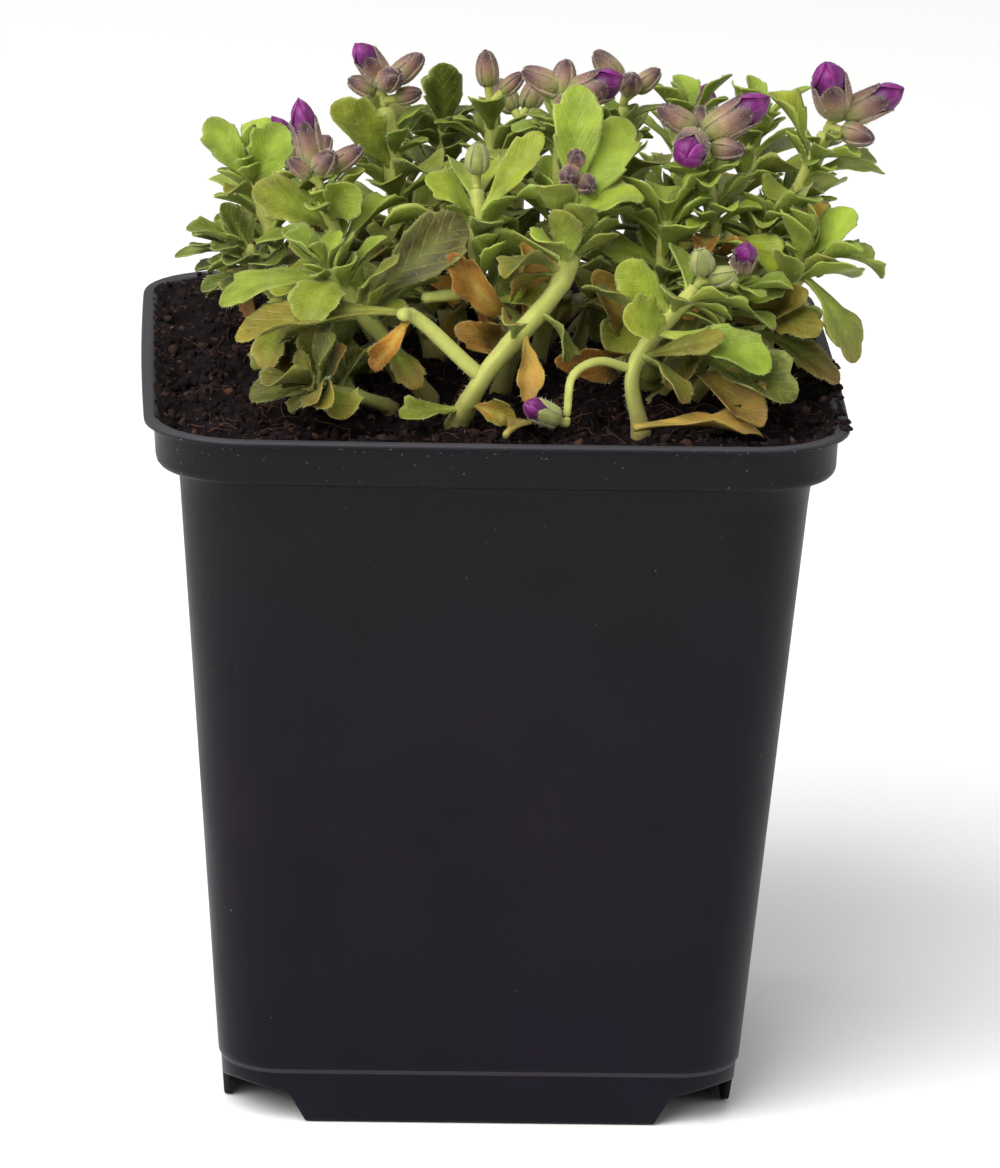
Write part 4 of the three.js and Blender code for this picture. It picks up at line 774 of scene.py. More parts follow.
# A blade's outline: rows from its stalk to its tip, its half width there, how deep the notch between
# two teeth cuts, and how far the tooth leans forwards
BLADE_ROWS = np.array([0, 0.08, 0.17, 0.27, 0.38, 0.48, 0.56, 0.605, 0.66, 0.74, 0.8, 0.845, 0.91, 0.965, 1])
BLADE_WIDTH = np.array([0.17, 0.18, 0.22, 0.33, 0.52, 0.75, 0.91, 0.97, 1, 0.99, 0.95, 0.88, 0.7, 0.45, 0.14])
BLADE_NOTCH = np.array([0, 0, 0, 0, 0, 0, 0, 0.2, 0.17, 0.05, 0, 0.26, 0.16, 0.05, 0])
BLADE_LEAN = np.array([0, 0, 0, 0, 0, 0.01, 0.035, 0, 0, 0.01, 0.035, 0, 0.01, 0, 0])
BLADE_SIDES = 12
LEAF, STEM, DOWN = range(3)       # a shoot's materials by their number


def blade_grid(leaves, rows, phi):
    """Points of many blades at rows along them and angles phi round their thin cross-section. Beside the
    arc of the midrib, the blade is a flattened tube: across goes with cos(phi) and thickness with
    sin(phi). Its edge is notched into teeth, curls, and waves with the sine of the way along."""
    base, forward, normal, across = (
        np.array([getattr(leaf, key) for leaf in leaves])[:, None, None]
        for key in ("base", "forward", "normal", "across"))
    length, half, bend, fold, seed, old, dead = (
        np.array([getattr(leaf, key) for leaf in leaves], float)[:, None, None]
        for key in ("length", "half", "bend", "fold", "seed", "large", "dead"))
    s = rows[None, :, None] if rows.ndim == 1 else rows[..., None]
    phi = phi[None, None, :] if phi.ndim == 1 else phi
    cos, sin = np.cos(phi), np.sin(phi)
    side = np.sign(cos)
    depth = (0.3 + 0.32 * old) * (1 + 0.45 * np.sin(seed * 2.3 + side))
    width = np.interp(s, BLADE_ROWS, BLADE_WIDTH) * (1 - depth * np.interp(s, BLADE_ROWS, BLADE_NOTCH))
    shifted = s + np.interp(s, BLADE_ROWS, BLADE_LEAN) * np.abs(cos) * depth
    shifted = shifted + 0.03 * np.sin(seed * 1.7) * cos * np.sin(np.pi * s)
    v = cos * width
    thick = np.interp(s, [0, 0.12, 0.3, 0.9, 1], [0.95, 0.8, 0.5, 0.42, 0.3])
    lift = 0.5 * thick * np.sign(sin) * np.abs(sin) ** 0.8
    rib = np.exp(-(cos / 0.16) ** 2) * np.interp(s, [0, 0.7, 1], [1, 0.6, 0])
    lift = lift + np.where(sin > 0, -0.17, -0.14) * rib * np.interp(s, [0, 0.25], [0, 1])
    half = half * (1 - 0.15 * dead)
    curl = 0.25 + (0.28 + 0.2 * old) * np.sin(seed * 3.1) + 1.0 * dead
    wave = 0.1 + 0.1 * old + 0.3 * dead
    rise = half * np.abs(v) ** 3 * (curl + wave * np.sin(11 * s + seed + 1.3 * side))
    rise = rise + (0.06 + 0.34 * dead) * half * np.sin(17 * s + seed * 5 + 2 * v) * v ** 2
    rise = rise + 0.4 * dead * half * np.sin(8 * s + seed) * np.sin(np.pi * s)
    angle = bend * shifted
    lifted = lift + rise + fold * np.abs(v) * half
    reach = length * np.sin(angle) / bend + lifted * np.sin(angle)
    up = lifted * np.cos(angle) - length * (1 - np.cos(angle)) / bend
    up = up + 0.1 * np.sin(seed * 4.7) * s * v * half
    points = (base + reach[..., None] * forward + up[..., None] * normal
              + (v * half)[..., None] * across)
    return points, v, angle


def leaf_tints(leaves, palette, s, phi):
    """Colours over many blades, from their shade and youth: paler on the stalk, the midrib, the edge and the
    underside, ageing from the tip and the edge inwards on the older ones, and darker as painted shade on
    leaves low over the compost."""
    base = np.array([palette[leaf.shade] for leaf in leaves])
    shades = np.array([leaf.shade for leaf in leaves])[:, None]
    youth, seed, height = (np.array(values, float)[:, None] for values in zip(
        *[(leaf.youth, leaf.seed, leaf.base[2] - SOIL_LEVEL) for leaf in leaves]))
    base = mix(base, palette["young"], np.where(np.isin(shades, ["fresh", "mid"]), 0.5, 0.1) * youth)
    tan = np.where(shades == "dry", 0.45 + 0.45 * np.sin(seed * 5.1), 0)
    base = mix(base, palette["tan"], tan) * (1 + 0.26 * np.sin(seed * 12.9 + np.array([0.0, 0.3, 0.6])))
    # Painted shade: a leaf that starts low over the compost is darker, down to 0.68 of its colour
    base = base * np.clip(0.68 + 0.34 * height / 26, 0.68, 1.05)
    colour = base[:, None, None]
    cos, sin = np.cos(phi)[None, None, :, None], np.sin(phi)[None, None, :, None]
    s = s[None, :, None, None]
    youth, seed = youth[:, :, None, None], seed[:, :, None, None]
    dry = np.isin(shades, ["dry", "old"])[:, :, None, None]
    age = (1 - youth) * (0.5 + 0.5 * np.sin(seed * 7.7))
    turning = np.clip((s - 0.45 + 0.3 * cos ** 2) * 2.2 * age * np.where(dry, 1.5, 0.55), 0, 0.85)
    colour = mix(colour, np.where(np.sin(seed * 3.3) > 0.2, palette["rust"], palette["turned"]), turning)
    colour = mix(colour, palette["stem"], 0.7 * np.clip(1 - s / 0.34, 0, 1) * np.where(dry, 0.4, 1))
    colour = mix(colour, palette["rib"], 0.4 * np.exp(-(cos / 0.25) ** 2) * np.clip(1.1 - s, 0, 1))
    edge = np.clip((np.abs(cos) - 0.8) / 0.2, 0, 1)
    colour = mix(colour, palette["edge"], np.where(dry, 0.15, 0.4) * edge)
    return mix(colour, palette["under"], np.where(sin < -0.2, 0.4, 0) * np.where(dry, 0.4, 1))


def add_leaves(surface, leaves, palette, rng, hair_count, hair_length):
    """The blades of one shoot with their down: hairs along the edges, and fewer on both faces."""
    phi = 2 * np.pi * np.arange(BLADE_SIDES) / BLADE_SIDES
    points, v, _ = blade_grid(leaves, BLADE_ROWS, phi)
    place = np.stack([v * 0.5 + 0.5, np.broadcast_to(BLADE_ROWS[None, :, None], v.shape)], -1)
    surface.add_closed(points, LEAF, leaf_tints(leaves, palette, BLADE_ROWS, phi), place=place, pole=0.5)
    for leaf in leaves:
        number = int(hair_count * (0.5 + 0.05 * leaf.length) * (0.45 if leaf.shade == "dry" else 1))
        s = rng.uniform(0.05, 1.0, number)
        edge = rng.random(number) < 0.62
        turn = np.where(edge, rng.normal(0, 0.25, number) + np.pi * rng.integers(0, 2, number),
                        rng.uniform(0, 2 * np.pi, number))
        roots, _, angle = blade_grid([leaf], s[None, :], turn[None, :, None])
        angle = angle[0, :, 0][:, None]
        forward = np.cos(angle) * leaf.forward - np.sin(angle) * leaf.normal
        normal = np.cos(angle) * leaf.normal + np.sin(angle) * leaf.forward
        out = np.cos(turn)[:, None] * leaf.across + np.sin(turn)[:, None] * normal + 0.45 * forward
        out = out + rng.normal(0, 0.25, out.shape)
        lengths = hair_length * rng.uniform(0.5, 1.2, number)
        add_hairs(surface, roots[0, :, 0], out, lengths, LEAF_HAIR_RADIUS, DOWN, palette["hair"])


def add_stem(surface, line, radii, joints, palette, rng, hair_length, woody):
    """A stem along a line: its radius swells a little where leaves join, and its foot is woody."""
    fraction = np.linspace(0, 1, max(int(length_of(line) / 0.8), 6))
    sway = np.stack([np.sin(9 * fraction + line[0, 0]), np.cos(7 * fraction + line[0, 1]), 0 * fraction], -1)
    centre = along(line, fraction) + 0.12 * sway * np.sin(np.pi * fraction)[:, None]
    swell = sum(np.exp(-((fraction - at) / 0.022) ** 2) for at in joints)
    radius = mix(radii[0], radii[1], fraction) * (1 + 0.14 * np.minimum(swell, 1.4))
    radius = radius * (1 + np.exp(-fraction / 0.06) * (0.35 if woody else 0))
    foot = (np.exp(-fraction / 0.16) * (1 if woody else 0.3))[:, None]
    tint = mix(palette["stem"], palette["stem_foot"], foot)
    if woody:
        centre = np.vstack([centre[:1] - [[0, 0, 2.0]], centre])
        radius = np.concatenate([radius[:1], radius])
        tint = np.vstack([tint[:1], tint])
    tube(surface, centre, radius, STEM, tint, around=12, ribs=0.09)
    number = int(length_of(centre) * 2 * np.pi * radii[0] * 2.2)
    spot = rng.uniform(0.06, 1, number)
    first, second = sideways(heading(line, spot))
    turn = rng.uniform(0, 2 * np.pi, number)
    out = np.cos(turn)[:, None] * first + np.sin(turn)[:, None] * second
    roots = along(line, spot) + out * (mix(radii[0], radii[1], spot) * 0.97)[:, None]
    lean = out + rng.normal(0, 0.3, out.shape)
    lengths = hair_length * rng.uniform(0.5, 1.3, number)
    add_hairs(surface, roots, lean, lengths, LEAF_HAIR_RADIUS, DOWN, palette["hair"])


# Sepals: rows along the bud, its radius there, and a sepal's width as a share of its quarter. A closed
# bud's sepals meet at its tip, and an open one's stand as a cup round the petals.
SEPAL_ROWS = np.array([0.0, 0.07, 0.16, 0.28, 0.42, 0.58, 0.74, 0.87, 0.96, 1.0])
SEPAL_BULGE = np.array([0.4, 0.66, 0.82, 0.92, 0.95, 0.91, 0.8, 0.62, 0.42, 0.2])
SEPAL_WIDTH = np.array([1.0, 1.1, 1.2, 1.25, 1.27, 1.28, 1.27, 1.22, 1.1, 0.8])
CUP_BULGE = np.array([0.4, 0.68, 0.86, 0.95, 0.99, 1.0, 0.99, 0.97, 0.95, 0.94])
CUP_WIDTH = np.array([1.0, 1.1, 1.2, 1.25, 1.25, 1.2, 1.02, 0.78, 0.46, 0.15])
SEPAL_SIDES = 8
CORE_BULGE = np.array([0.5, 0.8, 0.86, 0.86, 0.8, 0.55, 0.25])
STALK_RADII = (0.5, 0.62)
BUD_HAIRS = 5                     # hairs on a square millimetre of a bud's outline
BUD_HAIR_LENGTH = 0.4
SEPAL, CORE, STALK, BUD_DOWN = range(4)    # a head's materials by their number


def round_axis(bud, ahead, out, turn):
    """Points so far ahead of a bud's base, so far out from its axis, at an angle round it."""
    first, second = sideways(bud.axis)
    return (bud.base + ahead[..., None] * bud.axis
            + out[..., None] * (np.cos(turn)[..., None] * first + np.sin(turn)[..., None] * second))


def sepal_points(bud, quarter, rows, phi):
    """One sepal's points: at rows along the bud and angles phi round its thin cross-section. It follows
    the bud's bulging outline over its quarter turn, keeled along its middle, and narrows to a point."""
    cos = np.cos(phi)
    width = np.interp(rows, SEPAL_ROWS, CUP_WIDTH if bud.open else SEPAL_WIDTH)
    bulge = np.interp(rows, SEPAL_ROWS, CUP_BULGE if bud.open else SEPAL_BULGE)
    turn = (quarter + 0.5 * width * cos * 0.98) * np.pi / 2
    keel = 1 + 0.07 * (1 - cos ** 2) * np.interp(rows, [0, 0.3, 1], [1.6, 1, 0.6])
    tuck = 0.13 * (quarter % 2)
    out = bud.radius * bulge * keel - tuck + 0.15 * np.sin(phi)
    reach = (0.94 if bud.open else 1.02) * bud.length
    return round_axis(bud, rows * reach + 0.03 * bud.length * np.cos(quarter * 2.1 + bud.length), out, turn)


def add_bud(surface, bud, start, colours, rng):
    """A bud: its stalk from the head's axis, a core that closes it, and four sepals with their down."""
    stalk = along([start, bud.foot, bud.base + bud.axis * 0.06 * bud.length], np.linspace(0, 1, 8))
    tube(surface, stalk, np.linspace(*STALK_RADII, 8), STALK, colours["stalk"], around=8)
    inner = 0.8 if bud.open else 1
    core = bud.base + bud.axis * np.linspace(0.1, 0.99, 7)[:, None] * bud.length * inner
    tube(surface, core, CORE_BULGE * bud.radius * inner, CORE, colours["petal" if bud.open else "tip"])
    rows, phi = ring_grid(SEPAL_ROWS, SEPAL_SIDES)
    edge = np.clip((np.abs(np.cos(phi)) - 0.6) / 0.4, 0, 1)[..., None]
    place = np.stack([0.5 + 0.5 * np.cos(phi), rows], -1)
    tints = mix(colours["base"], colours["sepal"], np.clip(rows[..., None] * 1.9 - 0.1, 0, 1))
    tints = mix(tints, colours["tip"], np.clip(rows[..., None] * 2.4 - 1.1, 0, 1))
    # Paler edges: the sepals' own pale down, with a painted highlight along them
    tints = mix(tints, colours["edge"], 0.45 * edge)
    for quarter in range(4):
        points = sepal_points(bud, quarter, rows, phi)
        surface.add_closed(points[None], SEPAL, tints * rng.uniform(0.8, 1.15), place=place, pole=0.5)
        number = int(BUD_HAIRS * bud.length * bud.radius * 2)
        s = rng.uniform(0.03, 1, number)
        turn = np.where(rng.random(number) < 0.5, rng.uniform(0.1, np.pi - 0.1, number),
                        np.where(rng.random(number) < 0.5, 0.15, np.pi - 0.15))
        roots = sepal_points(bud, quarter, s, turn)
        axis_spot = bud.base + (s * bud.length)[:, None] * bud.axis
        out = unit(roots - axis_spot) + 0.6 * bud.axis + rng.normal(0, 0.3, roots.shape)
        lengths = BUD_HAIR_LENGTH * rng.uniform(0.5, 1.2, number)
        add_hairs(surface, roots, out, lengths, BUD_HAIR_RADIUS, BUD_DOWN, colours["hair"])


PETAL_SIDES = 10
PETAL_ROWS = np.linspace(0, 1, 10)
PETAL_PLACES = np.array([0.4, 0.6, 0.85, 1.02, 1.14, 1.24, 1.3])    # along the bud, with the bulge there
PETAL_BULGE = np.array([0.6, 0.76, 0.88, 0.84, 0.66, 0.36, 0.06])


def add_petals(surface, bud, colours, rng):
    """Four furled petals: each is a thin sheet over a quarter of the bud and more, one edge over the next
    petal and the other under the one before, and all are twisted up to a loose point."""
    rows, phi = ring_grid(PETAL_ROWS, PETAL_SIDES)
    cos = np.cos(phi)
    ahead = mix(PETAL_PLACES[0], PETAL_PLACES[-1], rows)
    bulge = np.interp(ahead, PETAL_PLACES, PETAL_BULGE)
    width = np.interp(rows, [0, 0.7, 0.9, 1], [1.35, 1.4, 1.4, 1.3])
    place = np.stack([0.5 + 0.5 * cos, rows], -1)
    # Painted shade darkens the petals' feet inside the bud, and painted highlight brightens their tops and
    # their edges
    tints = mix(colours["petal_low"], colours["petal"], np.clip(rows[..., None] * 2.2, 0, 1))
    tints = mix(tints, colours["petal_bright"], np.clip(rows[..., None] * 1.6 - 0.7, 0, 0.8))
    tints = mix(tints, colours["petal_edge"], 0.5 * np.clip((np.abs(cos) - 0.75) * 4, 0, 1)[..., None])
    for quarter in range(4):
        turn = (quarter + 0.5 * width * cos + 0.85 * rows + 0.12 * np.sin(quarter * 2.4)) * np.pi / 2
        ruffle = 0.05 * np.sin(9 * rows + 3 * quarter) * cos ** 2
        out = bud.radius * bulge * (1 + 0.13 * cos + ruffle) + 0.1 * np.sin(phi)
        lean = ahead - 0.05 * cos ** 2 * rows + 0.035 * np.sin(quarter * 1.9 + bud.length)
        points = round_axis(bud, lean * bud.length, out, turn)
        surface.add_closed(points[None], 0, tints * rng.uniform(0.85, 1.15), place=place, pole=0.5)


WHITE = (1, 1, 1)

# Columns of the pot's rings on one side, from the corner before it: places as shares of the foot's half
# width, and between the foot and the corner. The wall's lower edge is cut away outside the foot.
FOOT_SHARES = np.array([-1, -0.75, -0.5, -0.25, 0, 0.25, 0.5, 0.75, 1.0])
CORNER_STEPS = 10
SIDE_BOW = 0.3                    # how far the upper wall bows out at the middle of a side


def square_ring(half, corner, height, follow, bow):
    """A rounded square ring of the pot, anticlockwise from above. Where it follows the lower edge, that
    edge is level under the foot and higher beside it. The sides bow out by a square law."""
    beside = FOOT_HALF_HIGH + 0.05
    share = np.clip(height / FOOT_HEIGHT, 0, 1) if follow else 1.0
    foot = FOOT_SHARES * mix(FOOT_HALF_LOW, FOOT_HALF_HIGH, share)
    straight = half - corner
    x = np.concatenate([[-straight, -beside], foot, [beside, straight]])
    beside_foot = [FOOT_HEIGHT + 0.5, FOOT_HEIGHT]
    lifted = np.concatenate([beside_foot, 0 * foot, beside_foot[::-1]])
    y = -half - bow * (1 - (x / straight) ** 2)
    angle = np.arange(1, CORNER_STEPS) / CORNER_STEPS * np.pi / 2
    x = np.concatenate([x, straight + corner * np.sin(angle)])
    y = np.concatenate([y, -straight - corner * np.cos(angle)])
    lifted = np.concatenate([lifted, mix(FOOT_HEIGHT + 0.5, CORNER_HEIGHT, np.sin(2 * angle))])
    z = height + (lifted if follow else 0 * lifted)
    if follow:
        inward = TAPER * (STEP_HEIGHT - z)
        scale = (half - inward) / half
        x, y = x * np.where(np.abs(x) < FOOT_HALF_HIGH, 1, scale), y * scale
    sides = []
    for quarter in range(4):
        c, s = math.cos(quarter * math.pi / 2), math.sin(quarter * math.pi / 2)
        sides.append(np.stack([c * x - s * y, s * x + c * y, z], -1))
    return np.vstack(sides)


def pot_surface():
    """The pot as one closed skin: from the middle of the floor's underside, out and down inside the
    wall's foot, up the outside over step, band and lip, and down the inside to the floor's top. Each row
    is a ring's half width, corner radius, height, whether it follows the lower edge, and its bow."""
    low = BODY_LOW_HALF - STEP_DEPTH
    rows = [(10, 5, FLOOR_LOW, 0, 0), (low - WALL - 0.3, 7.2, FLOOR_LOW, 0, 0),
            (low - WALL, 7.4, 0.0, 1, 0), (low - 0.12, 8, 0.0, 1, 0), (low, 8, 0.3, 1, 0),
            (low - 0.05, 8.2, STEP_HEIGHT - 0.7, 0, 0), (low, 8.2, STEP_HEIGHT - 0.25, 0, 0),
            (BODY_LOW_HALF, 8.4, STEP_HEIGHT + 0.1, 0, 0), (BODY_LOW_HALF + 0.08, 8.4, STEP_HEIGHT + 1, 0, 0)]
    for share in np.linspace(0.1, 0.96, 9):
        height = mix(STEP_HEIGHT, BAND_LOW - 1.1, share)
        half = BODY_LOW_HALF + TAPER * (height - STEP_HEIGHT)
        rows.append((half, mix(8.4, 10, share), height, 0, SIDE_BOW * share))
    under_lip = POT_TOP - LIP_THICK
    upper = [(BODY_TOP_HALF, 10, BAND_LOW - 1.1), (BODY_TOP_HALF + 0.35, 10.2, BAND_LOW - 0.72),
             (BAND_HALF - 1.1, 11, BAND_LOW - 0.68), (BAND_HALF - 0.5, 11.3, BAND_LOW - 0.5),
             (BAND_HALF - 0.15, 11.5, BAND_LOW - 0.05), (BAND_HALF, 11.6, BAND_LOW + 0.6),
             (BAND_HALF + 0.15, 12, under_lip - 0.5), (BAND_HALF + 0.4, 12.1, under_lip - 0.06),
             (LIP_HALF - 0.3, 12.8, under_lip), (LIP_HALF - 0.05, 12.9, POT_TOP - 0.7),
             (LIP_HALF, 12.9, POT_TOP - 0.3), (LIP_HALF - 0.12, 12.8, POT_TOP - 0.08),
             (LIP_HALF - 0.4, 12.6, POT_TOP), (LIP_INNER_HALF + 0.4, 12, POT_TOP),
             (LIP_INNER_HALF, 11.7, POT_TOP - 0.12), (LIP_INNER_HALF - 0.5, 11.4, POT_TOP - 0.6),
             (BAND_INNER_HALF + 0.1, 11, POT_TOP - 1.2), (BAND_INNER_HALF, 10.9, POT_TOP - 2),
             (BAND_INNER_HALF, 10.8, BAND_LOW + 1.2), (BODY_TOP_HALF - WALL, 9, BAND_LOW - 0.4)]
    rows += [(*row, 0, SIDE_BOW) for row in upper]
    rows += [(low - WALL + 0.35, 7.4, FLOOR_TOP + 0.5, 0, 0), (low - WALL - 0.2, 7.2, FLOOR_TOP, 0, 0),
             (10, 5, FLOOR_TOP, 0, 0)]
    rings = np.stack([square_ring(*row) for row in rows])
    surface = Surface()
    surface.add_closed(rings[None], 0, WHITE, np.array([[0, 0, FLOOR_LOW], [0, 0, FLOOR_TOP]]))
    return surface


def cut_drains(pot):
    """Round holes through the pot's floor: a Boolean modifier with five short rods, applied."""
    rods = Surface()
    height, turn = ring_grid([FLOOR_LOW - 1.5, FLOOR_TOP + 1.5], 24)
    for x, y in DRAIN_PLACES:
        ring = [x + DRAIN_RADIUS * np.cos(turn), y + DRAIN_RADIUS * np.sin(turn), height]
        rods.add_closed(np.stack(ring, -1)[None], 0, WHITE)
    mesh = rods.mesh("rods")
    cutter = bpy.data.objects.new("rods", mesh)
    bpy.context.scene.collection.objects.link(cutter)
    cut = pot.modifiers.new("drains", "BOOLEAN")
    cut.operation = "DIFFERENCE"
    cut.solver = "MANIFOLD"
    cut.object = cutter
    bpy.context.view_layer.update()
    finished = bpy.data.meshes.new_from_object(pot.evaluated_get(bpy.context.evaluated_depsgraph_get()))
    pot.modifiers.clear()
    pot.data = finished
    bpy.data.objects.remove(cutter)
    bpy.data.meshes.remove(mesh)


def lattice_noise(x, y, size, rng):
    """Smooth noise from 0 to 1: random heights on a square lattice of that size, eased between."""
    table = rng.random((64, 64))
    u, v = x / size + 500, y / size + 500
    i, j = np.floor(u).astype(int), np.floor(v).astype(int)
    fu, fv = u - i, v - j
    fu, fv = fu * fu * (3 - 2 * fu), fv * fv * (3 - 2 * fv)
    at = [[table[(i + a) % 64, (j + b) % 64] for b in (0, 1)] for a in (0, 1)]
    return mix(mix(at[0][0], at[0][1], fv), mix(at[1][0], at[1][1], fv), fu)


def rounded_square(around, half, corner):
    """Points evenly round a rounded square, anticlockwise: each ray from the middle meets a straight side
    or, in a corner, its arc."""
    turn = 2 * np.pi * np.arange(around) / around
    c, s = np.cos(turn), np.sin(turn)
    reach = half / np.maximum(np.abs(c), np.abs(s))
    x, y = reach * c, reach * s
    inner = half - corner
    in_corner = (np.abs(x) > inner) & (np.abs(y) > inner)
    dot = (np.abs(c) + np.abs(s)) * inner
    arc = dot + np.sqrt(np.maximum(dot ** 2 - 2 * inner ** 2 + corner ** 2, 0))
    reach = np.where(in_corner, arc, reach)
    return np.stack([reach * c, reach * s], -1)


HEAPED_HALF = 43.6                # how far the compost reaches where it banks up onto the flared lip
HEAPED_CORNER = 11.9
BANK_WIDTH = 3.5
LUMPS = [(5.5, 2.2), (2.3, 1.8), (1.05, 1.0)]    # noise on the compost: size and height of each kind
PIT_SIZE = 3.4


def inside_edge(x, y):
    """How far points lie inside the rounded square that the banked compost fills."""
    inner = HEAPED_HALF - HEAPED_CORNER
    return HEAPED_CORNER - np.hypot(np.maximum(np.abs(x) - inner, 0), np.maximum(np.abs(y) - inner, 0))


def lumpy_top(x, y):
    """The compost's crumbled top: the solid's own height, with noise of three sizes and deeper pits, that
    banks up to the lip all round."""
    rng = np.random.default_rng(7)
    coarse, middle, fine = (lattice_noise(x, y, size, rng) - 0.5 for size, _ in LUMPS)
    pits = lattice_noise(x, y, PIT_SIZE, rng)
    bumps = sum(height * noise for (_, height), noise in zip(LUMPS, (coarse, middle, fine)))
    top = soil_height(x, y) + bumps - 1.6 * np.clip(pits - 0.72, 0, 1)
    rim = np.clip(1 - inside_edge(x, y) / BANK_WIDTH, 0, 1) ** 1.3
    return mix(top, POT_TOP - 0.1 + 0.5 * fine + 0.5 * middle, rim)


COMPOST_AROUND = 320
COMPOST_RINGS = 84


def compost_surface():
    """The compost as one closed skin: a small flat bottom, the tapered side, and the crumbled top drawn
    in to the middle on shrinking rounded squares."""
    wall_top = BODY_TOP_HALF - WALL - GAP - 0.2
    low = FLOOR_TOP + GAP
    low_half = wall_top - TAPER * (BAND_LOW - low) - 0.4
    rings = []
    for half, corner, height in ((low_half, 7, low), (wall_top - 0.2, 8.8, BAND_LOW - 0.4),
                                 (SOIL_HALF, SOIL_CORNER, BAND_LOW + 2.1),
                                 (SOIL_HALF, SOIL_CORNER, POT_TOP - 1.7)):
        flat = rounded_square(COMPOST_AROUND, half, corner)
        rings.append(np.hstack([flat, np.full((COMPOST_AROUND, 1), height)]))
    edge = rounded_square(COMPOST_AROUND, HEAPED_HALF, HEAPED_CORNER)
    for share in np.linspace(1, 0.02, COMPOST_RINGS):
        flat = edge * share
        rings.append(np.hstack([flat, lumpy_top(flat[:, 0], flat[:, 1])[:, None]]))
    zero = np.zeros(1)
    middle = np.array([[0, 0, low], [0, 0, lumpy_top(zero, zero)[0]]])
    surface = Surface()
    surface.add_closed(np.stack(rings)[None], 0, WHITE, middle)
    return surface


def lump_shape():
    """A ball of twenty triangles: the twelve corners of an icosahedron from the golden ratio."""
    g = (1 + 5 ** 0.5) / 2
    corners = np.array([[-1, g, 0], [1, g, 0], [-1, -g, 0], [1, -g, 0], [0, -1, g], [0, 1, g],
                        [0, -1, -g], [0, 1, -g], [g, 0, -1], [g, 0, 1], [-g, 0, -1], [-g, 0, 1]], float)
    faces = np.array([[0, 11, 5], [0, 5, 1], [0, 1, 7], [0, 7, 10], [0, 10, 11], [1, 5, 9], [5, 11, 4],
                      [11, 10, 2], [10, 7, 6], [7, 1, 8], [3, 9, 4], [3, 4, 2], [3, 2, 6], [3, 6, 8],
                      [3, 8, 9], [4, 9, 5], [2, 4, 11], [6, 2, 10], [8, 6, 7], [9, 8, 1]])
    return unit(corners), faces


def add_crumbs(surface, places, sizes, tints, rng):
    """Angular crumbs: each is a ball of twenty triangles, stretched and jolted at random."""
    ball, faces = lump_shape()
    count = len(places)
    jolt = rng.uniform(0.5, 1.35, (count, len(ball), 1))
    stretch = rng.uniform(0.4, 1.4, (count, 1, 3))
    turn = np.linalg.qr(rng.normal(size=(count, 3, 3)))[0]
    turn = turn * np.sign(np.linalg.det(turn))[:, None, None]
    points = np.einsum("nij,nkj->nki", turn, ball[None] * jolt * stretch)
    points = points * sizes[:, None, None] + places[:, None]
    surface.add(points, repeated([faces], count, len(ball)), 0, np.repeat(tints, len(ball), 0))


RIM_CRUMBS = 40                   # crumbs that lie on the lip of the pot's right side
FIBRE_SPREAD = 37                 # half the width of the square over which the fibres lie


def crumbs_surface(crumbs, fibres, palette):
    """Loose crumbs all over the compost and a few on the pot's lip, with bent root fibres between."""
    rng = np.random.default_rng(11)
    surface = Surface()
    x = rng.uniform(-HEAPED_HALF, HEAPED_HALF, crumbs)
    y = rng.uniform(-HEAPED_HALF, HEAPED_HALF, crumbs)
    depth = inside_edge(x, y)
    x, y, depth = (values[depth > 0] for values in (x, y, depth))
    sizes = np.minimum(0.2 + 0.75 * rng.random(len(x)) ** 4, 0.22 + 0.3 * depth)
    places = np.stack([x, y, lumpy_top(x, y) + 0.25 * sizes], -1)
    kind = rng.random(len(x))[:, None]
    tints = np.where(kind < 0.76, palette["crumb"], np.where(kind < 0.96, palette["brown"], palette["red"]))
    add_crumbs(surface, places, sizes, tints * rng.uniform(0.6, 1.5, (len(x), 1)), rng)
    sizes = rng.uniform(0.25, 0.75, RIM_CRUMBS)
    rim = np.stack([rng.uniform(LIP_INNER_HALF + 0.2, LIP_HALF - 0.1, RIM_CRUMBS),
                    rng.uniform(-36, 2, RIM_CRUMBS), POT_TOP + 0.5 * sizes], -1)
    tints = np.tile(palette["crumb"], (RIM_CRUMBS, 1)) * rng.uniform(0.8, 1.8, (RIM_CRUMBS, 1))
    add_crumbs(surface, rim, sizes, tints, rng)
    for _ in range(fibres):
        x, y = rng.uniform(-FIBRE_SPREAD, FIBRE_SPREAD, 2)
        turn, length = rng.uniform(0, 2 * np.pi), rng.uniform(2.5, 8)
        ahead = np.array([math.cos(turn), math.sin(turn)]) * length
        side = np.array([-ahead[1], ahead[0]]) * rng.uniform(-0.35, 0.35)
        share = np.linspace(0, 1, 6)[:, None]
        flat = np.array([x, y]) + ahead * (share - 0.5) + side * np.sin(np.pi * share)
        flat = np.clip(flat, -SOIL_HALF + 1.2, SOIL_HALF - 1.2)
        height = lumpy_top(flat[:, 0], flat[:, 1]) + 0.15 + rng.uniform(0, 0.5) * np.sin(np.pi * share[:, 0])
        tint = mix(np.array(palette["red"]), np.array(palette["fibre"]), rng.random())
        radii = np.full(6, rng.uniform(0.05, 0.11))
        tube(surface, np.hstack([flat, height[:, None]]), radii, 0, tint, around=4)
    return surface


RGB = {"data_type": "RGBA"}
MULTIPLY = {"data_type": "RGBA", "blend_type": "MULTIPLY"}
TIMES = {"operation": "MULTIPLY"}
TIMES_PLUS = {"operation": "MULTIPLY_ADD"}
COLOUR_OUT = 2                    # the output of a mix that carries its colour


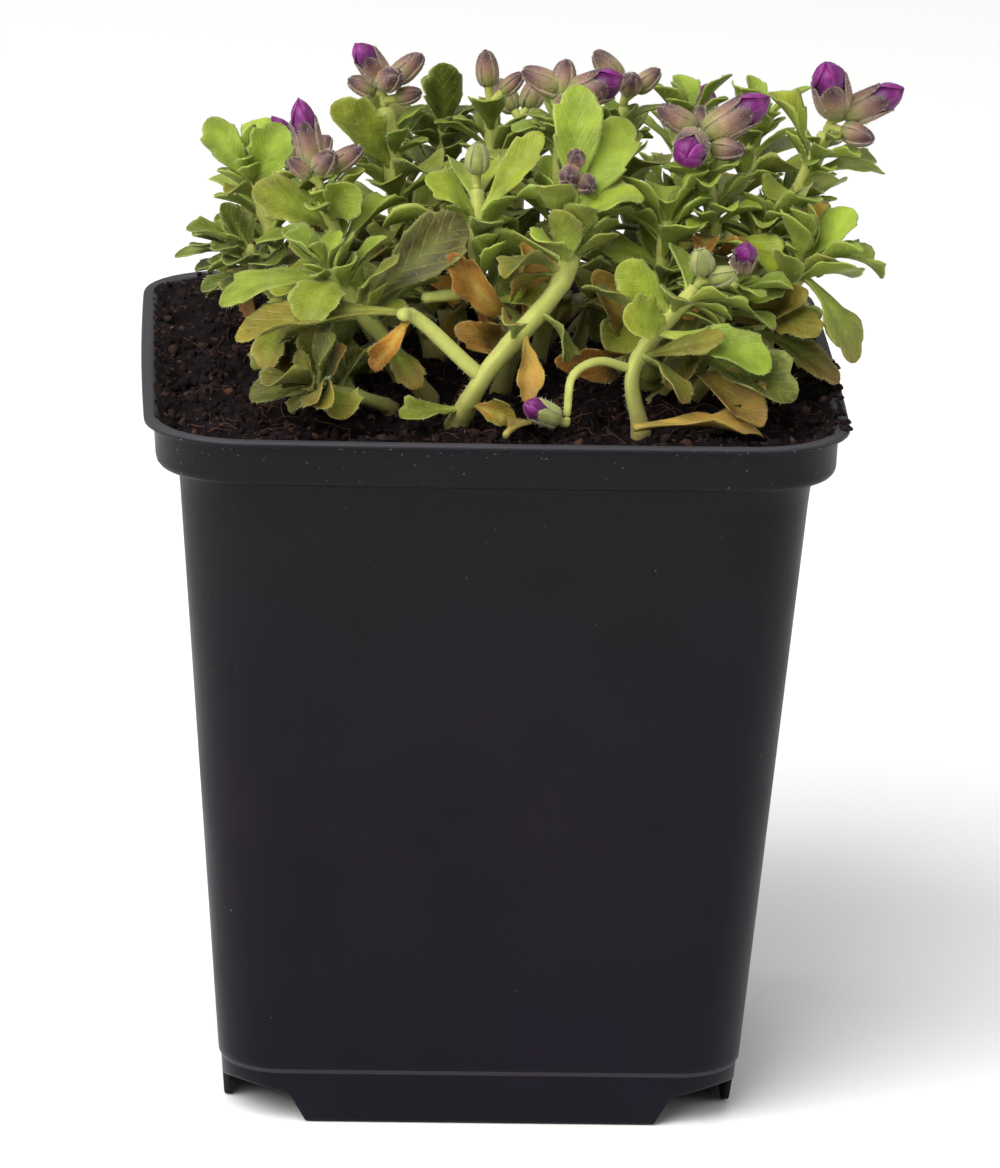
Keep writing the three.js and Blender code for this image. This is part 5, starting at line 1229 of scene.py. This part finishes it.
def node(tree, kind, settings=None, out=0, **links):
    """Adds a node, sets its properties, sets or links its sockets, and returns one of its outputs. A socket
    is named by its words joined with underscores, or by its number after an underscore."""
    made = tree.nodes.new("ShaderNode" + kind)
    for name, value in (settings or {}).items():
        setattr(made, name, value)
    for name, value in links.items():
        socket = made.inputs[int(name[1:]) if name[0] == "_" else name.replace("_", " ")]
        if isinstance(value, bpy.types.NodeSocket):
            tree.links.new(value, socket)
        else:
            socket.default_value = value
    return made.outputs[out] if len(made.outputs) else made


def patches(size):
    """The scale of a noise whose patches are about so many millimetres across."""
    return 1 / (size * MM)


def empty_material(name):
    """A material with no nodes, and its tree."""
    material = bpy.data.materials.new(name)
    material.use_nodes = True
    material.node_tree.nodes.clear()
    return material, material.node_tree


def finish_material(tree, **sockets):
    """Ends a material with a Principled shader that has these sockets."""
    shader = node(tree, "BsdfPrincipled", **sockets)
    node(tree, "OutputMaterial", Surface=shader)


# Pot: pale dust, a painted highlight on the lip's top, and a painted highlight where the step's edge catches
# the light
DUST = "66625F"
LIP_HIGHLIGHT = "434247"
STEP_HIGHLIGHT = "454349"


def moulded_polypropylene(settings):
    """Black polypropylene, injection moulded: a satin face with a fine grain that breaks up the gloss, faint
    vertical flow lines, a colour that turns darker and a little more violet towards the foot, a little pale
    dust under the lip, a painted highlight along the lip's top, and a thin painted highlight just under the
    step's edge. Its clouds are about 14 mm, the flow lines 1.1 by 40 mm, and the specks of dust 0.5 mm. The
    grain is 0.2 mm on the real pot, and is drawn at 0.4 mm so that it shows."""
    material, tree = empty_material("moulded_polypropylene")
    place = node(tree, "TexCoord", out="Object")
    height = node(tree, "SeparateXYZ", out="Z", Vector=place)
    # The wall turns darker and a little more violet towards the foot
    rise = node(tree, "MapRange", Value=height, From_Min=0.01, From_Max=0.075)
    low, high = (*settings.low_colour, 1), (*settings.colour, 1)
    colour = node(tree, "Mix", RGB, COLOUR_OUT, _0=rise, _6=low, _7=high)
    cloud = node(tree, "TexNoise", Vector=place, Scale=patches(14.2857), Detail=4)
    shade = node(tree, "MapRange", Value=cloud, From_Min=0.3, From_Max=0.7, To_Min=0.8, To_Max=1.25)
    colour = node(tree, "Mix", MULTIPLY, COLOUR_OUT, _0=1.0, _6=colour, _7=shade)
    dust = node(tree, "TexNoise", Vector=place, Scale=patches(0.526316), Detail=2)
    near_lip = node(tree, "MapRange", Value=height, From_Min=0.086, From_Max=0.0935, To_Min=0.79, To_Max=0.7)
    speck = node(tree, "Math", {"operation": "GREATER_THAN"}, _0=dust, _1=near_lip)
    # Painted highlight: the top half millimetre of the lip turns towards a paler grey
    lip = node(tree, "MapRange", Value=height, From_Min=(POT_TOP - 0.5) * MM, From_Max=(POT_TOP - 0.15) * MM,
               To_Max=0.75)
    # Painted highlight: a thin paler band just under the step's edge
    step = node(tree, "Math", {"operation": "COMPARE"}, _0=height, _1=(STEP_HEIGHT - 0.35) * MM, _2=0.0003)
    line = node(tree, "Math", TIMES, _0=step, _1=0.5)
    for share, code in ((speck, DUST), (lip, LIP_HIGHLIGHT), (line, STEP_HIGHLIGHT)):
        colour = node(tree, "Mix", RGB, COLOUR_OUT, _0=share, _6=colour, _7=(*linear(code), 1))
    rough = node(tree, "MapRange", Value=cloud, From_Min=0.3, From_Max=0.7,
                 To_Min=settings.roughness - 0.05, To_Max=settings.roughness + 0.07)
    flow = node(tree, "Mapping", Vector=place, Scale=(patches(1.11111), patches(1.11111), patches(40)))
    streaks = node(tree, "TexNoise", Vector=flow, Scale=1, Detail=3)
    grain = node(tree, "TexNoise", Vector=place, Scale=patches(0.416667), Detail=2)
    both = node(tree, "Math", TIMES_PLUS, _0=streaks, _1=0.6, _2=grain)
    bump = node(tree, "Bump", Height=both, Strength=0.16, Distance=0.0001)
    finish_material(tree, Base_Color=colour, Roughness=rough, Normal=bump, IOR=1.49, Specular_IOR_Level=0.13)
    return material


def damp_peat(name, colours, tinted):
    """Damp peat: near black between the crumbs and brown on them, matt, with a rough broken surface. Its
    lumps are about 2.4 mm and the bits of bark and fibre about 1.1 mm."""
    material, tree = empty_material(name)
    place = node(tree, "TexCoord", out="Object")
    lumps = node(tree, "TexNoise", Vector=place, Scale=patches(2.38095), Detail=6, Roughness=0.7)
    bits = node(tree, "TexNoise", Vector=place, Scale=patches(1.11111), Detail=3)
    shade = node(tree, "MapRange", Value=lumps, From_Min=0.35, From_Max=0.65)
    dark, brown, fleck = ((*part, 1) for part in (colours.dark_colour, colours.colour, colours.fleck_colour))
    colour = node(tree, "Mix", RGB, COLOUR_OUT, _0=shade, _6=dark, _7=brown)
    found = node(tree, "MapRange", Value=bits, From_Min=0.6, From_Max=0.68)
    colour = node(tree, "Mix", RGB, COLOUR_OUT, _0=found, _6=colour, _7=fleck)
    if tinted:
        tint = node(tree, "Attribute", {"attribute_name": "tint"})
        mottle = node(tree, "MapRange", Value=lumps, From_Min=0.3, From_Max=0.7, To_Min=0.5, To_Max=1.4)
        colour = node(tree, "Mix", MULTIPLY, COLOUR_OUT, _0=1.0, _6=tint, _7=mottle)
    bump = node(tree, "Bump", Height=lumps, Strength=0.9, Distance=0.0006)
    finish_material(tree, Base_Color=colour, Normal=bump, Roughness=0.85, IOR=1.4, Specular_IOR_Level=0.12)
    return material


# Leaves: their paler side veins, and the down that greys them
VEIN = "9DAE58"
DOWN_COLOUR = "B9C48A"
VEIN_PHASE = 44.0                 # gives seven side veins along a blade


def leaf_tissue(name, roughness, vein_strength):
    """Living leaf: its tint, a paler net of side veins that slant forwards from the midrib, a fine grain
    of down, and light that spreads a little inside the blade. Its patches are about 4 mm, the wander of
    its veins 3 mm, and its down, 0.1 mm on the real leaf, is drawn at 0.7 mm so that it shows."""
    material, tree = empty_material(name)
    tint = node(tree, "Attribute", {"attribute_name": "tint"})
    place = node(tree, "TexCoord", out="Object")
    across = node(tree, "SeparateXYZ", out="X", Vector=place.node.outputs["UV"])
    beside = node(tree, "Math", {"operation": "SUBTRACT"}, _0=across, _1=0.5)
    beside = node(tree, "Math", {"operation": "ABSOLUTE"}, _0=beside)
    slant = node(tree, "Math", TIMES_PLUS, _0=beside, _1=-0.75, _2=across.node.outputs["Y"])
    wobble = node(tree, "TexNoise", Vector=place, Scale=patches(2.857143), Detail=2)
    bent = node(tree, "Math", TIMES_PLUS, _0=wobble, _1=0.09, _2=slant)
    rows = node(tree, "Math", TIMES, _0=bent, _1=VEIN_PHASE)
    ridge = node(tree, "Math", {"operation": "SINE"}, _0=rows)
    vein = node(tree, "MapRange", Value=ridge, From_Min=0.72, From_Max=1.0)
    grain = node(tree, "TexNoise", Vector=place, Scale=patches(0.666667), Detail=3)
    patch = node(tree, "TexNoise", Vector=place, Scale=patches(3.846154), Detail=3)
    shade = node(tree, "MapRange", Value=patch, From_Min=0.3, From_Max=0.7, To_Min=0.66, To_Max=1.3)
    colour = node(tree, "Mix", MULTIPLY, COLOUR_OUT, _0=1.0, _6=tint, _7=shade)
    light = node(tree, "Math", TIMES, _0=vein, _1=vein_strength)
    down = node(tree, "MapRange", Value=grain, From_Min=0.56, From_Max=0.72, To_Min=0.0, To_Max=0.1)
    for share, code in ((light, VEIN), (down, DOWN_COLOUR)):
        colour = node(tree, "Mix", RGB, COLOUR_OUT, _0=share, _6=colour, _7=(*linear(code), 1))
    sunk = node(tree, "Math", TIMES_PLUS, _0=vein, _1=-0.3, _2=grain)
    bump = node(tree, "Bump", Height=sunk, Strength=0.45, Distance=0.0003)
    finish_material(tree, Base_Color=colour, Normal=bump, Roughness=roughness, IOR=1.4,
                    Specular_IOR_Level=0.35, Subsurface_Weight=0.06,
                    Subsurface_Radius=(0.6, 1.0, 0.3), Subsurface_Scale=0.0009, Sheen_Weight=0.04,
                    Sheen_Roughness=0.5)
    return material


def downy_tissue(name, roughness, size, spread, sheen):
    """Stems, sepals and petals: their own tint with a fine mottle of a given size, streaked along the
    part, and a soft sheen from the down or the satin of the petal's cells."""
    material, tree = empty_material(name)
    tint = node(tree, "Attribute", {"attribute_name": "tint"})
    place = node(tree, "TexCoord", out="Object")
    drawn = node(tree, "Mapping", Vector=place.node.outputs["UV"], Scale=(14, 1.5, 1))
    streak = node(tree, "TexNoise", Vector=drawn, Scale=1, Detail=3)
    mottle = node(tree, "TexNoise", Vector=place, Scale=patches(size), Detail=3)
    both = node(tree, "Math", {"operation": "ADD"}, _0=streak, _1=mottle)
    shade = node(tree, "MapRange", Value=both, From_Min=0.7, From_Max=1.3, To_Min=1 - spread,
                 To_Max=1 + spread)
    colour = node(tree, "Mix", MULTIPLY, COLOUR_OUT, _0=1.0, _6=tint, _7=shade)
    bump = node(tree, "Bump", Height=both, Strength=0.4, Distance=0.0002)
    finish_material(tree, Base_Color=colour, Normal=bump, Roughness=roughness, IOR=1.4, Subsurface_Weight=0.1,
                    Subsurface_Radius=(0.8, 0.6, 0.5), Subsurface_Scale=0.0006, Sheen_Weight=sheen)
    return material


def plant_hair(name):
    """The down itself: pale hairs that catch the light."""
    material, tree = empty_material(name)
    tint = node(tree, "Attribute", {"attribute_name": "tint"})
    finish_material(tree, Base_Color=tint, Roughness=0.6, Sheen_Weight=0.3)
    return material


def studio_paper(colour):
    """Matt pale paper under the pot, with fibres of about a millimetre."""
    material, tree = empty_material("studio_paper")
    place = node(tree, "TexCoord", out="Object")
    fibre = node(tree, "TexNoise", Vector=place, Scale=patches(1.11111), Detail=3)
    shade = node(tree, "MapRange", Value=fibre, To_Min=0.97, To_Max=1.0)
    mixed = node(tree, "Mix", MULTIPLY, COLOUR_OUT, _0=1.0, _6=(*colour, 1), _7=shade)
    finish_material(tree, Base_Color=mixed, Roughness=0.9)
    return material


def colour_property(name, words, code):
    """A colour setting whose default is an sRGB hex code."""
    return FloatVectorProperty(name=name, description=words, default=linear(code), subtype="COLOR", min=0,
                               max=1)


class PotSettings(PropertyGroup):
    """Finish of the nursery pot."""

    colour: colour_property("Colour", "Plastic of the upper wall", "110E13")
    # The wall near the foot: darker and a little more violet than the upper wall
    low_colour: colour_property("Lower colour", "Plastic near the foot, a little more violet", "0E0815")
    roughness: FloatProperty(name="Roughness", description="How satin the plastic is", default=0.42, min=0,
                             max=1, subtype="FACTOR")


class CompostSettings(PropertyGroup):
    """Colours of the compost and how much loose matter lies on it."""

    colour: colour_property("Colour", "Raised crumbs", "1C1416")
    dark_colour: colour_property("Dark colour", "Between the crumbs", "080506")
    fleck_colour: colour_property("Fleck colour", "Bits of bark and fibre", "46302A")
    crumbs: IntProperty(name="Crumbs", description="Loose crumbs on the compost", default=5600, min=0)
    fibres: IntProperty(name="Fibres", description="Root fibres on the compost", default=320, min=0)


class FoliageSettings(PropertyGroup):
    """Colours of the leaves and stems, and their down."""

    fresh: colour_property("Fresh", "Young foliage", "76861E")
    mid: colour_property("Middle", "Foliage of the upper shoots", "66741C")
    dark: colour_property("Dark", "Shaded and older foliage", "46500E")
    old: colour_property("Old", "Ageing foliage", "5C581C")
    # Dark olive brown of an ageing leaf, darkened further as painted shade
    dusk: colour_property("Dusk", "Dark olive brown leaves", "463D20")
    dry: colour_property("Dry", "Dead leaves", "9E6A14")
    tan: colour_property("Tan", "Bleached dead leaves", "B08A40")
    young: colour_property("Youngest", "Leaves at the tips", "8CA030")
    turned: colour_property("Turned", "Olive and yellow patches", "7C6E22")
    rust: colour_property("Rust", "Orange brown patches", "7C4A10")
    rib: colour_property("Midrib", "Midribs", "A8B650")
    edge: colour_property("Edge", "Downy edges", "B0BA68")
    under: colour_property("Underside", "Undersides", "78823A")
    stem: colour_property("Stem", "Stems", "B0B55C")
    stem_foot: colour_property("Stem foot", "Stems near the compost", "8C8048")
    hair: colour_property("Down", "Hairs of the leaves and stems", "BAC682")
    hair_length: FloatProperty(name="Hair length", description="Longest hairs", default=0.00045, min=0,
                               unit="LENGTH")
    hairs: IntProperty(name="Hairs", description="Hairs on a leaf of 10 mm", default=60, min=0)


class BudSettings(PropertyGroup):
    """Colours of the buds."""

    calyx: colour_property("Sepal", "Taupe pink sepals", "8C6858")
    calyx_tip: colour_property("Sepal tip", "Dark sepal tips", "3E1E2C")
    base: colour_property("Base", "Green foot of a bud", "7F8A42")
    beige: colour_property("Withered", "Withered sepals", "9C8260")
    woolly: colour_property("Woolly", "Young woolly sepals", "97A152")
    # The sepals' edges: their pale down, with a painted highlight along them
    edge: colour_property("Edge", "Downy edges of the sepals", "B6A28A")
    petal: colour_property("Petal", "Furled petals", "460A46")
    # Painted shade at the petals' feet, and painted highlight at their tops and along their edges
    petal_low: colour_property("Petal foot", "Petals inside the bud", "2C062E")
    petal_bright: colour_property("Petal light", "Petals at their tops", "72166A")
    petal_edge: colour_property("Petal edge", "Edges of the petals", "A04092")
    hair: colour_property("Down", "Hairs of the buds", "C8BDA4")


class StageSettings(PropertyGroup):
    """The floor, the light and the camera."""

    floor_colour: colour_property("Floor", "Pale floor", "FAFAFA")
    lens: FloatProperty(name="Focal length", description="Millimetres on a 36 mm long side", default=277.4,
                        min=1)
    key: FloatProperty(name="Key light", description="Large soft light above the left front", default=28,
                       min=0, unit="POWER")
    fill: FloatProperty(name="Side light", description="Soft lights at both sides and behind", default=4,
                        min=0, unit="POWER")
    sky: FloatProperty(name="Surround", description="White light from all around", default=0.22, min=0)


def palette_of(settings):
    """Linear colours of a group of settings by name, as arrays."""
    return {name: np.array(getattr(settings, name)) for name in settings.__annotations__
            if len(np.atleast_1d(getattr(settings, name))) == 3}


def fallen_frame(entry):
    """A fallen leaf's frame: it lies on the compost, raised until no part of it is below the ground."""
    x, y = entry.place
    turn, length = entry.heading, entry.length
    base = np.array([x - math.cos(turn) * length / 2, y - math.sin(turn) * length / 2, 0.0])
    out = np.array([math.cos(turn), math.sin(turn), 0.16])
    leaf = leaf_frame(base, out, np.array([0.0, 0.0, 1.0]), length, entry.half, 0.5, 0.25)
    points, _, _ = samples_of(leaf)
    leaf.base[2] = np.max(lowest_height(points[:, 0], points[:, 1]) - points[:, 2]) + GAP + BLADE_THICK / 2
    vars(leaf).update(shade="dry", youth=0.0, large=True, dead=False, seed=77 + round(10 * turn))
    return leaf


class AUBRIETA_OT_pot(Operator):
    """Makes the square nursery pot, with its lip, band, step, feet and drain holes"""

    bl_idname = "aubrieta.pot"
    bl_label = "Pot"

    def execute(self, context):
        plastic = moulded_polypropylene(context.scene.aubrieta_pot)
        pot = make_piece("pot_shell", pot_surface(), [plastic], "pot", ["pot"])
        cut_drains(pot)
        return {"FINISHED"}


class AUBRIETA_OT_compost(Operator):
    """Makes the compost with its crumbs and root fibres"""

    bl_idname = "aubrieta.compost"
    bl_label = "Compost"

    def execute(self, context):
        settings = context.scene.aubrieta_compost
        peat = damp_peat("damp_peat", settings, False)
        make_piece("compost_bed", compost_surface(), [peat], "compost", ["compost"])
        loose = damp_peat("peat_crumbs", settings, True)
        palette = {"crumb": linear("1C1315"), "brown": linear("32241F"), "red": linear("4E342B"),
                   "fibre": linear("43332A")}
        crumbs = crumbs_surface(settings.crumbs, settings.fibres, palette)
        make_piece("compost_crumbs", crumbs, [loose], "compost")
        return {"FINISHED"}


SLOT_OF_SHADE = {"fresh": "leaf_fresh", "mid": "leaf_mid", "dark": "leaf_dark", "old": "leaf_old"}


class AUBRIETA_OT_shoots(Operator):
    """Grows every leafy shoot: its stem and branch, its leaves, and their down"""

    bl_idname = "aubrieta.shoots"
    bl_label = "Leafy shoots"

    def execute(self, context):
        settings = context.scene.aubrieta_foliage
        palette = palette_of(settings)
        down = plant_hair("leaf_down")
        stem = downy_tissue("stem_tissue", 0.55, 1.428571, 0.16, 0.1)
        tissues = {shade: leaf_tissue(f"leaf_tissue_{shade}", 0.52, 0.14) for shade in SLOT_OF_SHADE}
        leaves = grow()
        length = settings.hair_length / MM
        for index, shoot in enumerate(SHOOTS):
            rng = np.random.default_rng(100 + index)
            surface = Surface()
            joints = [leaf.at for leaf in leaves[index] if leaf.at <= 1]
            add_stem(surface, stem_points(shoot), shoot.thick, joints, palette, rng, length, True)
            if shoot.branch:
                thick = shoot.branch.get("thick", [0.9 * shoot.thick[1], 0.75 * shoot.thick[1]])
                joints = [leaf.at - 1 for leaf in leaves[index] if leaf.at > 1]
                add_stem(surface, branch_points(shoot), thick, joints, palette, rng, length, False)
            add_leaves(surface, leaves[index], palette, rng, settings.hairs, length)
            make_piece(f"{shoot.name}_foliage", surface, [tissues[shoot.shade], stem, down],
                       SLOT_OF_SHADE[shoot.shade], [shoot.name])
        return {"FINISHED"}


class AUBRIETA_OT_buds(Operator):
    """Makes the heads of buds: sepals and stalks, and the furled petals of those that show colour"""

    bl_idname = "aubrieta.buds"
    bl_label = "Buds"

    def execute(self, context):
        settings = palette_of(context.scene.aubrieta_buds)
        foliage = palette_of(context.scene.aubrieta_foliage)
        slots = {"calyx": "sepal_brown", "beige": "sepal_dry", "woolly": "sepal_green"}
        sepal = downy_tissue("sepal_tissue", 0.6, 1.11111, 0.22, 0.15)
        petal = downy_tissue("petal_tissue", 0.4, 0.833333, 0.5, 0.05)
        stalk = downy_tissue("bud_stalk_tissue", 0.55, 1.428571, 0.12, 0.1)
        down = plant_hair("bud_down")
        for number, head in enumerate(HEADS):
            rng = np.random.default_rng(500 + number)
            finish = head.finish
            tip = {"calyx": settings["calyx_tip"], "beige": settings["calyx_tip"] * 1.1,
                   "woolly": settings["woolly"] * 0.8}[finish]
            colours = dict(settings, stalk=foliage["stem"], sepal=settings[finish], tip=tip)
            start, _ = head_start(head)
            surface = Surface()
            for rank in range(len(head.buds)):
                bud = drawn_bud(head, rank)
                add_bud(surface, bud, start, colours, rng)
                if bud.open:
                    petals = Surface()
                    add_petals(petals, bud, colours, rng)
                    make_piece(f"{head.name}_furled_{rank + 1}", petals, [petal], "petal",
                               [f"{head.name}_petals_{rank + 1}"])
            make_piece(f"{head.name}_sepals", surface, [sepal, petal, stalk, down], slots[finish],
                       [head.name])
        return {"FINISHED"}


DEAD_HAIRS = 20
DEAD_HAIR_LENGTH = 0.35


class AUBRIETA_OT_fallen(Operator):
    """Lays the two dead leaves on the compost"""

    bl_idname = "aubrieta.fallen"
    bl_label = "Fallen leaves"

    def execute(self, context):
        palette = palette_of(context.scene.aubrieta_foliage)
        dead = leaf_tissue("dead_leaf_tissue", 0.7, 0.15)
        down = plant_hair("dead_leaf_down")
        for entry in FALLEN_LEAVES:
            rng = np.random.default_rng(900)
            surface = Surface()
            add_leaves(surface, [fallen_frame(entry)], palette, rng, DEAD_HAIRS, DEAD_HAIR_LENGTH)
            make_piece(f"{entry.name}_blade", surface, [dead, dead, down], "leaf_dry", [entry.name])
        return {"FINISHED"}


def aimed(position, ahead, above):
    """A turned frame at a position that looks along 'ahead', with 'above' as near up as it can be."""
    ahead = Vector(ahead).normalized()
    right = ahead.cross(Vector(above)).normalized()
    up = right.cross(ahead)
    return Matrix(((right.x, up.x, -ahead.x, position[0]), (right.y, up.y, -ahead.y, position[1]),
                   (right.z, up.z, -ahead.z, position[2]), (0, 0, 0, 1)))


def soft_light(name, position, target, size, power, colour):
    """A square area light that faces a target."""
    light = bpy.data.lights.new(name, "AREA")
    light.shape = "SQUARE"
    light.size = size
    light.energy = power
    light.color = colour
    made = bpy.data.objects.new(name, light)
    made.matrix_world = aimed(position, Vector(target) - Vector(position), (0, 0.01, 1))
    bpy.context.scene.collection.objects.link(made)


# Camera: its elevation, its turn and roll, its distance from a point on the pot's axis, and how far
# beside that point the picture's middle looks, as a share of the distance
ELEVATION = math.radians(16.75)
TURN = math.radians(-2.48)
ROLL = math.radians(1.47)
DISTANCE = 1189
TARGET_HEIGHT = 45
OFF_MIDDLE = (21 / 9000, 133.5 / 9000)
PAPER_HALF = 6
PAPER_TOP = -0.0002               # just under the feet, so that the two don't share a plane


class AUBRIETA_OT_stage(Operator):
    """Sets up the pale floor, the soft lights and the camera"""

    bl_idname = "aubrieta.stage"
    bl_label = "Stage"

    def execute(self, context):
        scene = context.scene
        settings = scene.aubrieta_stage
        mesh = bpy.data.meshes.new("paper")
        corners = [(x * PAPER_HALF, y * PAPER_HALF, PAPER_TOP)
                   for x, y in ((-1, -1), (1, -1), (1, 1), (-1, 1))]
        mesh.from_pydata(corners, [], [(0, 1, 2, 3)])
        mesh.materials.append(studio_paper(settings.floor_colour))
        floor = bpy.data.objects.new("paper", mesh)
        scene.collection.objects.link(floor)
        middle = (AXIS[0] * MM, AXIS[1] * MM, 0.06)
        for light in [("key", (-0.55, -0.75, 1.0), middle, 1.2, settings.key, (1, 0.99, 0.97)),
                      ("side_left", (-1.0, 0.1, 0.35), middle, 1.0, settings.fill, WHITE),
                      ("side_right", (1.0, 0.0, 0.4), middle, 1.0, settings.fill, WHITE),
                      ("back", (0.1, 1.0, 1.3), (0, 0.55, 0), 1.0, 1.6 * settings.fill, WHITE)]:
            soft_light(*light)
        world = bpy.data.worlds.new("surround")
        world.use_nodes = True
        world.node_tree.nodes.clear()
        sky = node(world.node_tree, "Background", Color=(*WHITE, 1), Strength=settings.sky)
        node(world.node_tree, "OutputWorld", Surface=sky)
        scene.world = world
        back = Vector((math.sin(TURN) * math.cos(ELEVATION), -math.cos(TURN) * math.cos(ELEVATION),
                       math.sin(ELEVATION)))
        position = Vector((AXIS[0], AXIS[1], TARGET_HEIGHT)) + back * DISTANCE
        right = (-back).cross(Vector((0, 0, 1))).normalized()
        above = right.cross(-back)
        turned_right = right * math.cos(ROLL) + above * math.sin(ROLL)
        turned_up = above * math.cos(ROLL) - right * math.sin(ROLL)
        ahead = -back + turned_right * OFF_MIDDLE[0] + turned_up * OFF_MIDDLE[1]
        camera = bpy.data.cameras.new("camera")
        camera.sensor_fit = "AUTO"
        camera.sensor_width = 36
        camera.lens = settings.lens
        camera.clip_start = 0.01
        camera.clip_end = 20
        viewer = bpy.data.objects.new("camera", camera)
        viewer.matrix_world = aimed(position * MM, ahead, turned_up)
        scene.collection.objects.link(viewer)
        scene.camera = viewer
        scene.view_settings.view_transform = "Standard"
        return {"FINISHED"}


class AUBRIETA_PT_sidebar(Panel):
    """Settings of the potted aubrieta and the buttons that make its pieces"""

    bl_label = "Potted aubrieta"
    bl_idname = "AUBRIETA_PT_sidebar"
    bl_space_type = "VIEW_3D"
    bl_region_type = "UI"
    bl_category = "Aubrieta"

    def draw(self, context):
        for group, operators in MAKERS:
            box = self.layout.box()
            settings = getattr(context.scene, group)
            for name in settings.__annotations__:
                box.prop(settings, name)
            for operator in operators:
                box.operator(operator)


MAKERS = [
    ("aubrieta_pot", ["aubrieta.pot"]),
    ("aubrieta_compost", ["aubrieta.compost"]),
    ("aubrieta_foliage", ["aubrieta.shoots", "aubrieta.fallen"]),
    ("aubrieta_buds", ["aubrieta.buds"]),
    ("aubrieta_stage", ["aubrieta.stage"]),
]
GROUPS = {
    "aubrieta_pot": PotSettings, "aubrieta_compost": CompostSettings, "aubrieta_foliage": FoliageSettings,
    "aubrieta_buds": BudSettings, "aubrieta_stage": StageSettings,
}
OPERATORS = [AUBRIETA_OT_pot, AUBRIETA_OT_compost, AUBRIETA_OT_shoots, AUBRIETA_OT_fallen, AUBRIETA_OT_buds,
             AUBRIETA_OT_stage]
CLASSES = [*GROUPS.values(), *OPERATORS, AUBRIETA_PT_sidebar]


def register():
    for made in CLASSES:
        bpy.utils.register_class(made)
    for name, group in GROUPS.items():
        setattr(bpy.types.Scene, name, PointerProperty(type=group))


def unregister():
    for name in GROUPS:
        delattr(bpy.types.Scene, name)
    for made in reversed(CLASSES):
        bpy.utils.unregister_class(made)


def main():
    """Makes every piece and the stage."""
    register()
    for operator in (bpy.ops.aubrieta.pot, bpy.ops.aubrieta.compost, bpy.ops.aubrieta.shoots,
                     bpy.ops.aubrieta.fallen, bpy.ops.aubrieta.buds, bpy.ops.aubrieta.stage):
        operator()


if __name__ == "__main__":
    main()
